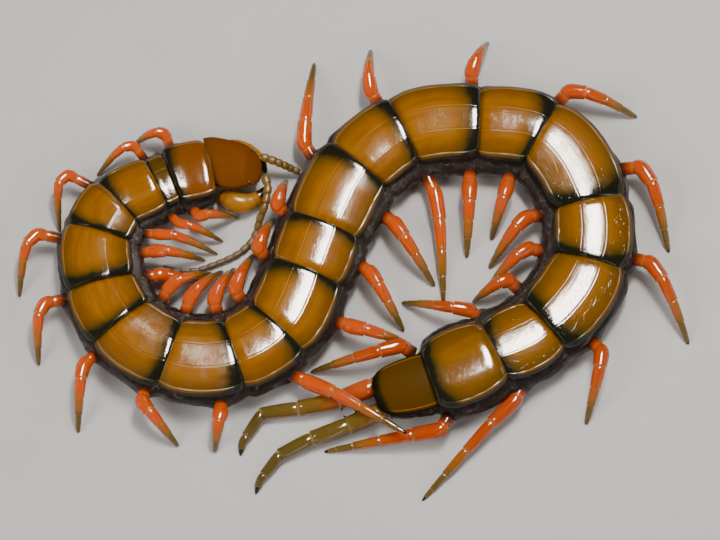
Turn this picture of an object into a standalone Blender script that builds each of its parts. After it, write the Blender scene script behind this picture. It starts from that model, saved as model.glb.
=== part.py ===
"""Giant centipede, a still model at life size, lying in two open loops with its head towards +X.

Metres, +Z up, standing on the floor at z = 0. The trunk follows one route in plan. Every leg
starts on the trunk's flank and is bent until it has its real length.
"""

import math

import bmesh
import bpy
from mathutils import Vector

MM = 0.001
GAP = 0.3  # millimetres between neighbouring pieces

# ---- Driving dimensions, in millimetres ----

# The middle of the back in plan, at the front of the head, then at each plate's rear edge.
ROUTE = (
    (-17.9, 19.2), (-27.5, 20.1), (-34.4, 18.4), (-37.3, 17.0), (-44.4, 13.2), (-47.4, 7.6),
    (-46.7, -2.1), (-42.8, -9.8), (-33.7, -15.7), (-22.3, -15.7), (-14.5, -10.7), (-9.5, -0.2),
    (-6.3, 8.6), (-0.4, 20.3), (8.0, 26.9), (21.8, 28.5), (33.3, 26.5), (41.7, 13.0),
    (41.4, 1.7), (33.1, -10.3), (23.5, -15.4), (12.3, -20.2), (2.5, -22.8),
)
PLAN_CENTRE = (-1.4, 3.0)  # the plan point that becomes the origin

# Width of each back plate, from the first behind the head to the last.
PLATE_WIDTH = (
    11.2, 9.8, 10.8, 12.0, 12.6, 13.0, 13.4, 14.0, 14.0, 14.2, 14.2,
    14.5, 14.0, 14.3, 14.2, 14.4, 14.0, 14.0, 13.2, 14.2, 10.2,
)
WIDEST_PLATE = 14.5
BELLY_Z = 1.9  # under side of the trunk above the floor
TRUNK_DEPTH = 0.52  # trunk height as a share of the plate's width

# Half of the trunk's section, from the belly up to the middle of the back, as shares of the half
# width and of the height. The soft flank stands out past the plate, and bunches on the inside of a bend.
# The back plate is raised: its edge juts out over a groove along the flank's top. So is the belly plate.
FLANK_OUT = 1.26
FLANK_BUNCH = 2.0  # millimetres of bend radius in which the flank's share grows by one
FLANK_LIMITS = (1.14, 1.36)
LAST_FLANK = 1.1  # beside the last plate
FLANK_SECTION = ((0.44, 0.00), (0.47, 0.045), (0.80, 0.07), (0.98, 0.17), (1.00, 0.30), (0.92, 0.47), (0.73, 0.58))
BACK_SECTION = ((1.00, 0.61), (1.03, 0.68), (0.93, 0.80), (0.62, 0.925), (0.20, 1.00))
# Along one plate: share of its length, then the shares of width and height, and how far up the under side lies.
# The rear edge stands higher than the next plate's front edge, as if it lay over it.
PLATE_SHAPE = (
    (0.0, 0.93, 0.92, 0.0), (0.2, 0.985, 0.965, 0.0), (0.6, 1.0, 1.0, 0.0), (0.9, 0.99, 1.01, 0.0),
    (1.0, 0.95, 0.99, 0.0),
)
BARREL_PLATES = (19, 20)  # plates with strongly rounded sides
BARREL_SHAPE = (
    (0.0, 0.84, 0.92, 0.0), (0.2, 0.955, 0.965, 0.0), (0.5, 1.0, 1.0, 0.0), (0.8, 0.94, 1.01, 0.0),
    (1.0, 0.77, 0.99, 0.0),
)
# The last plate roofs over the roots of the tail legs.
TAIL_WALL = 0.78
LAST_PLATE_SHAPE = (
    (0.0, 1.0, 0.93, 0.0), (0.3, 1.0, 0.98, 0.0), (0.6, 0.97, 0.97, 0.0), (TAIL_WALL, 0.92, 0.94, 0.0),
    (0.80, 0.90, 0.93, 0.64), (0.92, 0.74, 0.88, 0.66), (1.0, 0.45, 0.80, 0.68),
)

# The head turns right at the neck, so the neck's edge slants: millimetres back per millimetre to the left.
NECK_SLANT = 0.36
SLANT_END = 6.0  # distance ahead of the neck where the head's sections are square again
HEAD_SHIFT = (1.3, 0.6)  # how far the head's middle lies left of the neck's, at its rear and at its front
# Head: distance ahead of the neck, half width, under side and top.
HEAD_SHAPE = (
    (0.32, 4.35, 3.2, 6.7), (1.3, 4.65, 3.1, 7.1), (3.2, 4.7, 3.0, 7.3), (5.4, 4.4, 3.0, 7.1),
    (7.3, 3.7, 3.1, 6.5), (8.7, 2.65, 3.4, 5.9), (9.5, 1.5, 3.8, 5.3),
)
HALF_HEAD_SECTION = (
    (0.40, 0.00), (0.64, 0.12), (0.80, 0.38), (0.90, 0.53), (1.00, 0.60),
    (0.95, 0.76), (0.62, 0.94), (0.20, 1.00),
)
OCELLI = ((6.3, 3.70, 6.00), (7.1, 3.40, 5.85), (7.6, 3.05, 6.00), (8.0, 2.95, 5.40))
OCELLUS_RADIUS = 0.36

# Jaws (poison claws), in the head's own plan: ahead of the neck, out from the middle, height, radius.
JAW_PLATE = ((0.35, 2.7, 1.2, 2.6), (1.5, 2.9, 1.1, 2.65), (2.7, 2.7, 1.2, 2.6), (3.7, 2.0, 1.4, 2.4))
RIGHT_JAW = (
    (2.75, 4.7, 2.1, 1.05), (3.5, 5.4, 2.4, 1.7), (5.0, 6.1, 2.6, 1.85), (6.9, 6.0, 2.5, 1.7),
    (8.4, 5.2, 2.4, 1.4), (9.6, 3.9, 2.3, 1.1), (10.6, 2.4, 2.3, 0.75), (11.2, 0.9, 2.3, 0.3),
)
LEFT_JAW = (
    (1.2, 4.1, 2.1, 1.0), (2.1, 4.6, 2.2, 1.4), (4.4, 4.8, 2.3, 1.6), (6.4, 4.6, 2.2, 1.45),
    (7.8, 4.0, 2.1, 1.25), (8.9, 3.0, 2.0, 1.0), (9.7, 1.7, 2.0, 0.7), (10.2, 0.5, 2.0, 0.3),
)
PALP = ((6.0, 0.6, 2.1, 0.45), (6.8, 1.5, 1.9, 0.5), (7.5, 2.0, 1.7, 0.4), (8.0, 1.6, 1.5, 0.3))
LIP = ((5.0, 1.3, 1.7, 2.65), (6.2, 1.7, 1.5, 2.7), (7.4, 1.2, 1.6, 2.7))

# Feelers: route in plan with height, from the head's front to the tip.
FEELER_RADIUS = (0.75, 0.40)
LEFT_FEELER = (
    (-17.4, 22.3, 4.8), (-15.7, 21.8, 4.6), (-14.1, 21.4, 3.6), (-12.5, 21.1, 2.2), (-10.7, 20.7, 1.1),
    (-8.1, 19.8, 0.8), (-5.2, 19.8, 0.8), (-1.8, 21.8, 0.8), (1.5, 25.0, 0.7),
)
RIGHT_FEELER = (
    (-17.2, 18.2, 4.8), (-16.8, 16.8, 4.9), (-17.0, 14.8, 4.7), (-17.4, 13.0, 4.3), (-18.3, 11.2, 2.8),
    (-18.9, 9.2, 1.2), (-19.9, 7.3, 0.8), (-21.9, 5.3, 0.8), (-24.1, 4.1, 0.8), (-26.4, 3.1, 0.8), (-29.5, 2.0, 0.7),
    (-33.2, 1.9, 0.7), (-35.9, 2.6, 0.7),
)

# Walking legs, first pair to last: where the leg leaves the trunk, in plates from the neck; where its
# foot stands in plan; and how far the leg bows towards the head.
LEG_LENGTH = (18.0, 24.0)  # first and last pair
LEFT_LEGS = (
    (0.8, -42.0, 26.5, 1.0), (1.8, -48.5, 20.5, 1.5), (3.0, -55.0, 9.5, 4.0), (4.15, -62.0, -3.0, 3.2),
    (5.05, -58.0, -16.0, 2.2), (6.05, -50.5, -28.5, 0.6), (6.8, -32.5, -31.0, 0.5), (7.7, -26.0, -32.0, 0.0),
    (8.65, 8.3, -30.2, -1.2), (9.5, 9.5, -12.2, 0.5), (10.55, 8.0, -9.5, 0.5), (11.55, 13.6, -1.0, 0.5),
    (13.1, 15.2, -4.2, -1.0), (13.9, 19.5, 4.5, 0.0), (14.6, 24.0, 8.0, 0.0), (15.95, 23.5, 2.5, 0.5),
    (16.9, 23.0, -1.5, 0.5), (17.85, 20.5, -4.0, 0.5), (18.85, 7.5, -4.0, -1.0), (20.1, -9.0, -17.2, -0.8),
)
RIGHT_LEGS = (
    (0.65, -22.5, 12.2, 0.0), (2.0, -25.0, 7.6, 0.0), (3.1, -26.0, 5.2, 1.0), (4.35, -28.2, 4.0, 0.0),
    (5.05, -28.8, 0.2, 0.0), (6.15, -27.0, 1.5, 1.0), (6.95, -25.0, 2.0, 0.5), (7.85, -22.8, 2.5, 0.5),
    (8.85, -19.4, 5.2, 0.3), (10.05, -16.1, 12.0, 0.0), (11.0, -13.5, 19.5, 0.0), (11.8, -8.5, 43.0, 0.5),
    (12.9, 2.0, 45.5, 1.0), (13.9, 24.0, 47.0, 0.5), (14.95, 51.5, 32.0, 1.0), (15.7, 56.5, 5.5, 2.2),
    (16.75, 59.5, -12.0, 1.0), (17.7, 40.5, -27.0, 0.5), (18.7, 11.0, -41.0, -1.0), (19.9, -6.5, -32.0, 0.0),
)
FOOT_Z = 0.05
RAISED_FOOT = {(1, 9): 6.0}  # the foot of the ninth left leg lies on the tail legs
LEG_ROOT = 0.23  # height of a leg's root as a share of the trunk's height
ROOT_PLACES = (-1.8, -0.9, 0.0, 0.9, 1.8)  # where along the flank a root's clearance is measured
KNEE_RISE = (0.6, 3.0)  # least and most that a knee is lifted above the straight line
LOW_KNEE = {(-1, 5)}  # the fifth right leg keeps the least rise and passes under the sixth
# Along a walking leg: share of its length, radius. The leg is pinched where one joint meets the next.
LEG_SHAPE = (
    (0.04, 1.22), (0.10, 1.52), (0.18, 1.58), (0.29, 1.30), (0.32, 1.06), (0.40, 1.26), (0.54, 1.04),
    (0.57, 0.86), (0.64, 0.96), (0.75, 0.82), (0.78, 0.64), (0.91, 0.60), (1.0, 0.26),
)
COXA = (0.7, 1.40)  # length of the short first joint, radius

# Tail legs: route in plan with height and radius.
LEFT_TAIL_LEG = (
    (3.4, -20.2, 3.0, 1.60), (2.2, -20.7, 2.9, 1.80), (-0.9, -21.8, 2.5, 1.75), (-3.9, -22.9, 2.0, 1.45),
    (-7.5, -24.1, 1.9, 1.60), (-11.1, -24.4, 1.7, 1.35), (-14.3, -24.3, 1.5, 1.35), (-17.6, -25.2, 1.2, 1.05),
    (-19.9, -27.2, 0.9, 1.00), (-21.0, -30.3, 0.6, 0.70), (-21.4, -32.8, 0.2, 0.3),
)
RIGHT_TAIL_LEG = (
    (4.3, -24.8, 3.0, 1.60), (3.2, -25.4, 2.9, 1.80), (0.9, -26.5, 2.5, 1.75), (-2.0, -27.6, 2.0, 1.45),
    (-5.0, -28.7, 1.9, 1.60), (-8.6, -30.0, 1.7, 1.35), (-11.4, -31.2, 1.5, 1.35), (-14.3, -32.8, 1.2, 1.05),
    (-16.4, -34.9, 0.9, 1.00), (-17.8, -37.3, 0.6, 0.70), (-18.6, -39.8, 0.2, 0.3),
)
# Spines on the inner side of a tail leg's first joint: share of the joint's length, tilt upward.
TAIL_SPINES = ((0.45, -0.9), (0.75, -0.4), (1.0, 0.6))
SPINE_LENGTH = 0.7
SPINE_RADIUS = 0.4

TUBE_BEVEL = 2  # eight sides
HALVINGS = 30  # steps of the search for a knee's rise


# ---- The route and the trunk's form ----

def plan(x, y, z=0.0):
    """A point of the plan, in metres in the model's frame."""
    return Vector(((x - PLAN_CENTRE[0]) * MM, (y - PLAN_CENTRE[1]) * MM, z * MM))


def leftward(forward):
    return Vector((-forward.y, forward.x))


KNOTS = [Vector(point) for point in ROUTE]
PLATE_LENGTH = [(b - a).length for a, b in zip(KNOTS, KNOTS[1:])]
PLATES = len(PLATE_WIDTH)
NECK = KNOTS[1]
HEAD_FORWARD = (KNOTS[0] - NECK).normalized()
HEAD_LEFT = leftward(HEAD_FORWARD)


def knot_direction(index):
    """Unit direction of the route at a plate edge, weighted by the lengths on either side."""
    if index == 0:
        return (KNOTS[1] - KNOTS[0]).normalized()
    if index == 1:
        return -(HEAD_FORWARD + HEAD_LEFT * NECK_SLANT).normalized()
    if index == len(KNOTS) - 1:
        return (KNOTS[-1] - KNOTS[-2]).normalized()
    before = (KNOTS[index] - KNOTS[index - 1]).normalized()
    after = (KNOTS[index + 1] - KNOTS[index]).normalized()
    return (before * PLATE_LENGTH[index] + after * PLATE_LENGTH[index - 1]).normalized()


def on_route(plate, share):
    """Plan point and forward direction at a share of a plate's length; plate 0 is the head."""
    length = PLATE_LENGTH[plate]
    start, end = KNOTS[plate], KNOTS[plate + 1]
    leave, arrive = knot_direction(plate) * length, knot_direction(plate + 1) * length
    t = share
    point = (
        start * (2 * t**3 - 3 * t**2 + 1) + leave * (t**3 - 2 * t**2 + t)
        + end * (3 * t**2 - 2 * t**3) + arrive * (t**3 - t**2)
    )
    slope = (
        start * (6 * t**2 - 6 * t) + leave * (3 * t**2 - 4 * t + 1)
        + end * (6 * t - 6 * t**2) + arrive * (3 * t**2 - 2 * t)
    )
    return point, -slope.normalized()


def knot_bend(index):
    """How sharply the route turns at a plate edge, in turns to the animal's left per millimetre."""
    if index in (0, len(KNOTS) - 1):
        return 0.0
    before, after = KNOTS[index] - KNOTS[index - 1], KNOTS[index + 1] - KNOTS[index]
    turn = math.atan2(before.x * after.y - before.y * after.x, before.dot(after))
    return -turn / ((before.length + after.length) / 2)


def flank_share(plate, share, sign):
    """The flank's width as a share of the plate's, on the animal's left (sign 1) or right (-1)."""
    if plate == PLATES:
        return LAST_FLANK
    bend = knot_bend(plate) * (1 - share) + knot_bend(plate + 1) * share
    low, high = FLANK_LIMITS
    return min(max(FLANK_OUT + FLANK_BUNCH * bend * sign, low), high)


def plate_shape(plate):
    if plate in BARREL_PLATES:
        return BARREL_SHAPE
    return LAST_PLATE_SHAPE if plate == PLATES else PLATE_SHAPE


def shape_at(plate, share):
    """Shares of width, height and raised under side at a share of the plate's length."""
    stops = plate_shape(plate)
    for before, after in zip(stops, stops[1:]):
        if share <= after[0]:
            mix = (share - before[0]) / (after[0] - before[0])
            return [a + (b - a) * mix for a, b in zip(before[1:], after[1:])]
    return stops[-1][1:]


def half_section(flank):
    return [(u * flank, v) for u, v in FLANK_SECTION] + list(BACK_SECTION)


def trunk_ring(plate, share):
    """The trunk's closed section at a share of a plate's length, half a gap inside the plate's own edges."""
    point, forward = on_route(plate, share)
    if share in (0, 1):
        point = point + forward * GAP * (share - 0.5)
    wide, high, lift = shape_at(plate, share)
    half = PLATE_WIDTH[plate - 1] / 2 * wide
    height = PLATE_WIDTH[plate - 1] * TRUNK_DEPTH * high
    right = [(-u * half, v) for u, v in half_section(flank_share(plate, share, -1))]
    left = [(u * half, v) for u, v in reversed(half_section(flank_share(plate, share, 1)))]
    side = leftward(forward)
    return [plan(*(point + side * u), BELLY_Z + height * max(v, lift + (1 - lift) * v)) for u, v in right + left]


def trunk_rings(first, last):
    """The sections of a trunk length that holds the plates first to last."""
    return [trunk_ring(plate, share) for plate in range(first, last + 1) for share, *_ in plate_shape(plate)]


def flank_reach(station, sign):
    """A leg's root: the plan point on the route, the way out, and how far the flank reaches over the root's width."""
    plate, share = int(station) + 1, station % 1
    point, forward = on_route(plate, share)
    outward = leftward(forward) * sign
    reach = 0.0
    for shift in ROOT_PLACES:
        near = min(max(station + shift / PLATE_LENGTH[plate], 0.0), PLATES - 0.01)
        near_plate, near_share = int(near) + 1, near % 1
        spot, heading = on_route(near_plate, near_share)
        half = PLATE_WIDTH[near_plate - 1] / 2 * shape_at(near_plate, near_share)[0]
        wall = spot + leftward(heading) * sign * half * flank_share(near_plate, near_share, sign)
        reach = max(reach, (wall - point).dot(outward))
    return point, outward, reach


def head_point(ahead, out, z):
    """A point of the head's own plan, out positive to the animal's left."""
    rear, front = HEAD_SHIFT
    shift = rear + (front - rear) * ahead / PLATE_LENGTH[0]
    return plan(*(NECK + HEAD_FORWARD * ahead + HEAD_LEFT * (out + shift)), z)


def head_ring(ahead, half, bottom, top, outline):
    """A closed section of the head, slanted like the neck's edge at the rear and square at the front."""
    slant = NECK_SLANT * max(0.0, 1 - ahead / SLANT_END)
    right = [(-u * half, bottom + v * (top - bottom)) for u, v in outline]
    left = [(-u, z) for u, z in reversed(right)]
    return [head_point(ahead - slant * (u + HEAD_SHIFT[0]), u, z) for u, z in right + left]


# ---- Making pieces ----

def clear_scene():
    for obj in list(bpy.data.objects):
        bpy.data.objects.remove(obj, do_unlink=True)


def make_material(name, colour, roughness):
    material = bpy.data.materials.new(name)
    material.use_nodes = True
    shader = material.node_tree.nodes["Principled BSDF"]
    shader.inputs["Base Color"].default_value = (*colour, 1.0)
    shader.inputs["Roughness"].default_value = roughness
    shader.inputs["Metallic"].default_value = 0.0
    return material


def add_mesh(name, bm, collection):
    """A new object from a bmesh, facing out, and shaded smooth with its sharp edges kept."""
    bmesh.ops.recalc_face_normals(bm, faces=bm.faces[:])
    mesh = bpy.data.meshes.new(name)
    bm.to_mesh(mesh)
    bm.free()
    mesh.shade_smooth()
    mesh.set_sharp_from_angle(angle=math.radians(40))
    obj = bpy.data.objects.new(name, mesh)
    collection.objects.link(obj)
    return obj


def loft(name, rings, collection):
    """A closed body through rings of equally many points, capped at both ends."""
    bm = bmesh.new()
    rows = [[bm.verts.new(point) for point in ring] for ring in rings]
    count = len(rows[0])
    for row, following in zip(rows, rows[1:]):
        for i in range(count):
            j = (i + 1) % count
            bm.faces.new((row[i], row[j], following[j], following[i]))
    bm.faces.new(rows[0])
    bm.faces.new(rows[-1])
    return add_mesh(name, bm, collection)


def cut_at_floor(bm):
    """Removes what lies under the floor and leaves a small flat there."""
    geometry = bm.verts[:] + bm.edges[:] + bm.faces[:]
    bmesh.ops.bisect_plane(bm, geom=geometry, dist=1e-7, plane_co=(0, 0, 0), plane_no=(0, 0, 1), clear_inner=True)
    bmesh.ops.holes_fill(bm, edges=[edge for edge in bm.edges if edge.is_boundary])


def tube(name, points, radii, collection):
    """A tapered eight-sided tube through the points, cut flat where it meets the floor. Radii in millimetres."""
    curve = bpy.data.curves.new(name, "CURVE")
    curve.dimensions = "3D"
    curve.bevel_depth = MM
    curve.bevel_resolution = TUBE_BEVEL
    curve.use_fill_caps = True
    spline = curve.splines.new("POLY")
    spline.points.add(len(points) - 1)
    for knot, point, radius in zip(spline.points, points, radii):
        knot.co = (*point, 1.0)
        knot.radius = radius
    guide = bpy.data.objects.new(name + "_guide", curve)
    collection.objects.link(guide)
    bpy.context.view_layer.update()
    mesh = bpy.data.meshes.new_from_object(guide.evaluated_get(bpy.context.evaluated_depsgraph_get()))
    bpy.data.objects.remove(guide, do_unlink=True)
    bm = bmesh.new()
    bm.from_mesh(mesh)
    bpy.data.meshes.remove(mesh)
    bmesh.ops.remove_doubles(bm, verts=bm.verts[:], dist=1e-7)
    cut_at_floor(bm)
    return add_mesh(name, bm, collection)


def keep_largest(mesh):
    """Deletes all but the largest connected surface of a mesh."""
    bm = bmesh.new()
    bm.from_mesh(mesh)
    left = set(bm.faces)
    shells = []
    while left:
        shell, edge = set(), [left.pop()]
        while edge:
            face = edge.pop()
            shell.add(face)
            for side in face.edges:
                for other in side.link_faces:
                    if other in left:
                        left.discard(other)
                        edge.append(other)
        shells.append(shell)
    largest = max(shells, key=lambda shell: sum(face.calc_area() for face in shell))
    loose = [face for shell in shells if shell is not largest for face in shell]
    bmesh.ops.delete(bm, geom=loose, context="FACES")
    bm.to_mesh(mesh)
    bm.free()


def fuse(body, pieces):
    """Joins the pieces to the body by one Boolean union and removes them."""
    group = bpy.data.collections.new(body.name + "_pieces")
    bpy.context.scene.collection.children.link(group)
    for piece in pieces:
        for holder in list(piece.users_collection):
            holder.objects.unlink(piece)
        group.objects.link(piece)
    joint = body.modifiers.new("join", "BOOLEAN")
    joint.operation = "UNION"
    joint.operand_type = "COLLECTION"
    joint.collection = group
    bpy.context.view_layer.update()
    mesh = bpy.data.meshes.new_from_object(body.evaluated_get(bpy.context.evaluated_depsgraph_get()))
    body.modifiers.clear()
    body.data = mesh
    keep_largest(mesh)
    for piece in pieces:
        bpy.data.objects.remove(piece, do_unlink=True)
    bpy.data.collections.remove(group)


def cone(name, root, tip, radius, collection):
    """A six-sided spine from root to tip."""
    bm = bmesh.new()
    axis = tip - root
    bmesh.ops.create_cone(bm, cap_ends=True, segments=6, radius1=radius * MM, radius2=0.1 * MM, depth=axis.length)
    bmesh.ops.rotate(bm, verts=bm.verts[:], matrix=Vector((0, 0, 1)).rotation_difference(axis).to_matrix())
    bmesh.ops.translate(bm, verts=bm.verts[:], vec=(root + tip) / 2)
    return add_mesh(name, bm, collection)


# ---- The animal's parts ----

def make_trunk(collection, material):
    """Ten lengths of two segments and the last segment by itself."""
    for first in range(1, PLATES, 2):
        last = first + 1
        length = loft(f"trunk_{first:02d}_{last:02d}", trunk_rings(first, last), collection)
        length.data.materials.append(material)
    last_length = loft(f"trunk_{PLATES}", trunk_rings(PLATES, PLATES), collection)
    last_length.data.materials.append(material)


def make_head(collection, material):
    """The head capsule under its one plate, with four simple eyes on each side."""
    rings = [head_ring(*shape, HALF_HEAD_SECTION) for shape in HEAD_SHAPE]
    head = loft("head", rings, collection)
    eyes = []
    for side in (1, -1):
        for number, (ahead, out, z) in enumerate(OCELLI):
            bm = bmesh.new()
            bmesh.ops.create_uvsphere(bm, u_segments=8, v_segments=5, radius=OCELLUS_RADIUS * MM)
            bmesh.ops.translate(bm, verts=bm.verts[:], vec=head_point(ahead, side * out, z))
            eyes.append(add_mesh(f"eye_{side}_{number}", bm, collection))
    fuse(head, eyes)
    head.data.materials.append(material)


def make_jaws(collection, material):
    """The plate under the head, the two poison claws hinged to it, and the mouthparts between them."""
    plate = loft("jaw_plate", [head_ring(*shape, HALF_HEAD_SECTION) for shape in JAW_PLATE], collection)
    plate.data.materials.append(material)
    for side, name, shape in ((1, "jaw_left", LEFT_JAW), (-1, "jaw_right", RIGHT_JAW)):
        points = [head_point(ahead, side * out, z) for ahead, out, z, _ in shape]
        jaw = tube(name, points, [radius for *_, radius in shape], collection)
        jaw.data.materials.append(material)
    mouth = loft("mouthparts", [head_ring(*shape, HALF_HEAD_SECTION) for shape in LIP], collection)
    palps = []
    for side in (1, -1):
        points = [head_point(ahead, side * out, z) for ahead, out, z, _ in PALP]
        palps.append(tube(f"palp_{side}", points, [radius for *_, radius in PALP], collection))
    fuse(mouth, palps)
    mouth.data.materials.append(material)


def make_feelers(collection, material):
    for name, route in (("antenna_left", LEFT_FEELER), ("antenna_right", RIGHT_FEELER)):
        thick, thin = FEELER_RADIUS
        steps = len(route) - 1
        radii = [thick + (thin - thick) * i / steps for i in range(steps + 1)]
        feeler = tube(name, [plan(*point) for point in route], radii, collection)
        feeler.data.materials.append(material)


def polyline_length(points):
    return sum((b - a).length for a, b in zip(points, points[1:]))


def leg_route(sign, pair, station, foot_x, foot_y, bow):
    """A walking leg's points: on the flank, the end of its first joint, then on to the foot."""
    width = PLATE_WIDTH[pair - 1]
    base_z = BELLY_Z + LEG_ROOT * width * TRUNK_DEPTH
    scale = width / WIDEST_PLATE
    point, outward, reach_out = flank_reach(station, sign)
    base = point + outward * (reach_out + GAP)
    hip = base + outward * COXA[0]
    foot_z = RAISED_FOOT.get((sign, pair), FOOT_Z)
    reach = Vector((foot_x, foot_y)) - hip
    across = Vector((reach.y, -reach.x)).normalized() * sign
    target = LEG_LENGTH[0] + (LEG_LENGTH[1] - LEG_LENGTH[0]) * (pair - 1) / (PLATES - 2)

    def route(rise):
        points = [plan(*base, base_z), plan(*hip, base_z)]
        for along, _ in LEG_SHAPE:
            spot = hip + reach * along + across * bow * math.sin(math.pi * math.sqrt(along))
            lift = rise * math.sin(math.pi * along**0.7)
            points.append(plan(*spot, base_z * (1 - along) + foot_z * along + lift))
        return points

    low, high = KNEE_RISE
    for _ in range(0 if (sign, pair) in LOW_KNEE else HALVINGS):
        middle = (low + high) / 2
        if polyline_length(route(middle)) < target * MM:
            low = middle
        else:
            high = middle
    radii = [COXA[1] * scale, COXA[1] * scale] + [radius * scale for _, radius in LEG_SHAPE]
    return route(low), radii


def make_legs(collection, material):
    for side, sign, legs in (("left", 1, LEFT_LEGS), ("right", -1, RIGHT_LEGS)):
        for pair, stance in enumerate(legs, start=1):
            points, radii = leg_route(sign, pair, *stance)
            leg = tube(f"leg_{side}_{pair:02d}", points, radii, collection)
            leg.data.materials.append(material)


def make_tail_legs(collection, material):
    """The last, stouter pair, which trails behind, with short spines under the first joint."""
    for side, name, shape in ((1, "tail_leg_left", LEFT_TAIL_LEG), (-1, "tail_leg_right", RIGHT_TAIL_LEG)):
        points = [plan(x, y, z) for x, y, z, _ in shape]
        leg = tube(name, points, [radius for *_, radius in shape], collection)
        along = (points[2] - points[1]).normalized()
        inward = Vector((-along.y, along.x, 0.0)) * side
        spines = []
        for number, (share, tilt) in enumerate(TAIL_SPINES):
            middle = points[1].lerp(points[2], share)
            aim = (inward + Vector((0, 0, tilt)) + along * 0.5).normalized()
            root = middle + aim * shape[1][3] * 0.5 * MM
            tip = middle + aim * (shape[1][3] + SPINE_LENGTH) * MM
            spines.append(cone(f"{name}_spine_{number}", root, tip, SPINE_RADIUS, collection))
        fuse(leg, spines)
        leg.data.materials.append(material)


def main():
    clear_scene()
    collection = bpy.data.collections.new("giant_centipede")
    bpy.context.scene.collection.children.link(collection)
    make_head(collection, make_material("chestnut_shell", (0.33, 0.10, 0.01), 0.25))
    make_jaws(collection, make_material("amber_jaw", (0.42, 0.16, 0.01), 0.25))
    make_feelers(collection, make_material("olive_feeler", (0.25, 0.17, 0.03), 0.35))
    make_trunk(collection, make_material("amber_shell", (0.37, 0.16, 0.005), 0.22))
    make_legs(collection, make_material("orange_leg", (0.72, 0.08, 0.01), 0.3))
    make_tail_legs(collection, make_material("olive_leg", (0.20, 0.13, 0.02), 0.28))


main()
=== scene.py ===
# %% [markdown]
# # A giant centipede, dressed for a museum case
# The solids of the animal already exist: a trunk in eleven lengths, a head with its jaws and feelers,
# and forty-two legs. This lesson dresses them. Soft skin, shell plates, jointed legs, claws and eyes are
# built over the solids, each piece rides on the same body, and each hides the solid that it stands for.
# Every length in the plan below is in millimetres, and turns into metres at the last moment.

# %% Load the solids
import math

import bmesh
import bpy
import numpy as np
from mathutils import Matrix, Vector, noise


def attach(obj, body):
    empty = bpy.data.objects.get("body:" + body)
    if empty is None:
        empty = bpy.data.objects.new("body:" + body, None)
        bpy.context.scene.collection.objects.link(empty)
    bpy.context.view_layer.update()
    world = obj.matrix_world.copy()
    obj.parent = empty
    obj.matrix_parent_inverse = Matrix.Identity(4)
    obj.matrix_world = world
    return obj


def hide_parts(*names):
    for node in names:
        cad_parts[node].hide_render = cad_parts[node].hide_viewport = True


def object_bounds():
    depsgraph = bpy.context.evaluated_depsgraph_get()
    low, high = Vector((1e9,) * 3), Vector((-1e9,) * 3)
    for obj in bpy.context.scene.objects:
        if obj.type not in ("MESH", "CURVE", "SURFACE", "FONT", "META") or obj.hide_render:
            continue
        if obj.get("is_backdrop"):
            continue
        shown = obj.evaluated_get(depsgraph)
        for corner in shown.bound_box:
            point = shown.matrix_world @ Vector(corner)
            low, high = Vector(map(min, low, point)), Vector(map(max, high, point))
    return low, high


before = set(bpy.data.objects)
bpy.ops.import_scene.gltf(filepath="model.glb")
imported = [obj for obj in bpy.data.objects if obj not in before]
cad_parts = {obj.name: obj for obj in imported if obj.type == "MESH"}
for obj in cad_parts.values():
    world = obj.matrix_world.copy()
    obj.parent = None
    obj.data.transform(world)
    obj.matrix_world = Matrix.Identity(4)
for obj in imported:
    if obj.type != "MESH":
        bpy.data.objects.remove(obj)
solid_low, solid_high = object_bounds()
MM = 0.001
print("solids:", len(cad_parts), "size in mm:", [round(x / MM, 1) for x in solid_high - solid_low])

# %% [markdown]
# ## Camera
# The animal is seen from high above, 72 degrees over the floor, and from close by. A long lens half a
# metre away keeps the near loop and the far loop at nearly the same scale, as a macro lens does.

# %% Camera
VIEW_HEIGHT = math.radians(72)
VIEW_DISTANCE = 520 * MM
VIEW_WIDTH = 129.6 * MM
LOOK_AT = Vector((1.4, -3.0, 7.0)) * MM
lens = bpy.data.cameras.new("camera")
lens.sensor_width = 36
lens.lens = lens.sensor_width * VIEW_DISTANCE / VIEW_WIDTH
lens.clip_start, lens.clip_end = 0.01, 20
camera = bpy.data.objects.new("camera", lens)
back_to_eye = Vector((0, -math.cos(VIEW_HEIGHT), math.sin(VIEW_HEIGHT)))
camera.location = LOOK_AT + back_to_eye * VIEW_DISTANCE
camera.rotation_euler = (-back_to_eye).to_track_quat("-Z", "Y").to_euler()
bpy.context.scene.collection.objects.link(camera)
bpy.context.scene.camera = camera
print("lens", round(lens.lens, 1), "mm")

# %% [markdown]
# ## Lights
# Wet-looking shell is read by its reflections, so the lamps that give light and the lamps that are
# mirrored are kept apart. A small key lamp and two large side lamps light the animal and aren't mirrored.
# The streak lamp hangs behind it at the mirror angle of the camera and gives each plate one white streak.
# Twelve long strips stand round the animal like the spokes of a wheel. They lie too low for the plates'
# flat tops to mirror, so they only draw thin bright lines along the sloping legs and dashes on the rims.

# %% Lights
VIEW = np.array(back_to_eye)


def softbox(name, direction, distance, size, power, lights=True, mirrored=True, colour=(1.0, 1.0, 1.0),
            long_side=(0, 1, 0)):
    """A rectangular lamp that looks at the animal from a direction. Lengths in millimetres."""
    lamp = bpy.data.lights.new(name, "AREA")
    lamp.shape = "RECTANGLE"
    lamp.size, lamp.size_y = size[0] * MM, size[1] * MM
    lamp.energy = power
    lamp.color = colour
    holder = bpy.data.objects.new(name, lamp)
    way = Vector(direction).normalized()
    right = Vector(long_side).cross(way).normalized()
    holder.location = way * distance * MM
    holder.rotation_euler = Matrix((right, way.cross(right), way)).transposed().to_euler()
    holder.visible_diffuse, holder.visible_glossy = lights, mirrored
    bpy.context.scene.collection.objects.link(holder)
    return holder


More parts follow.
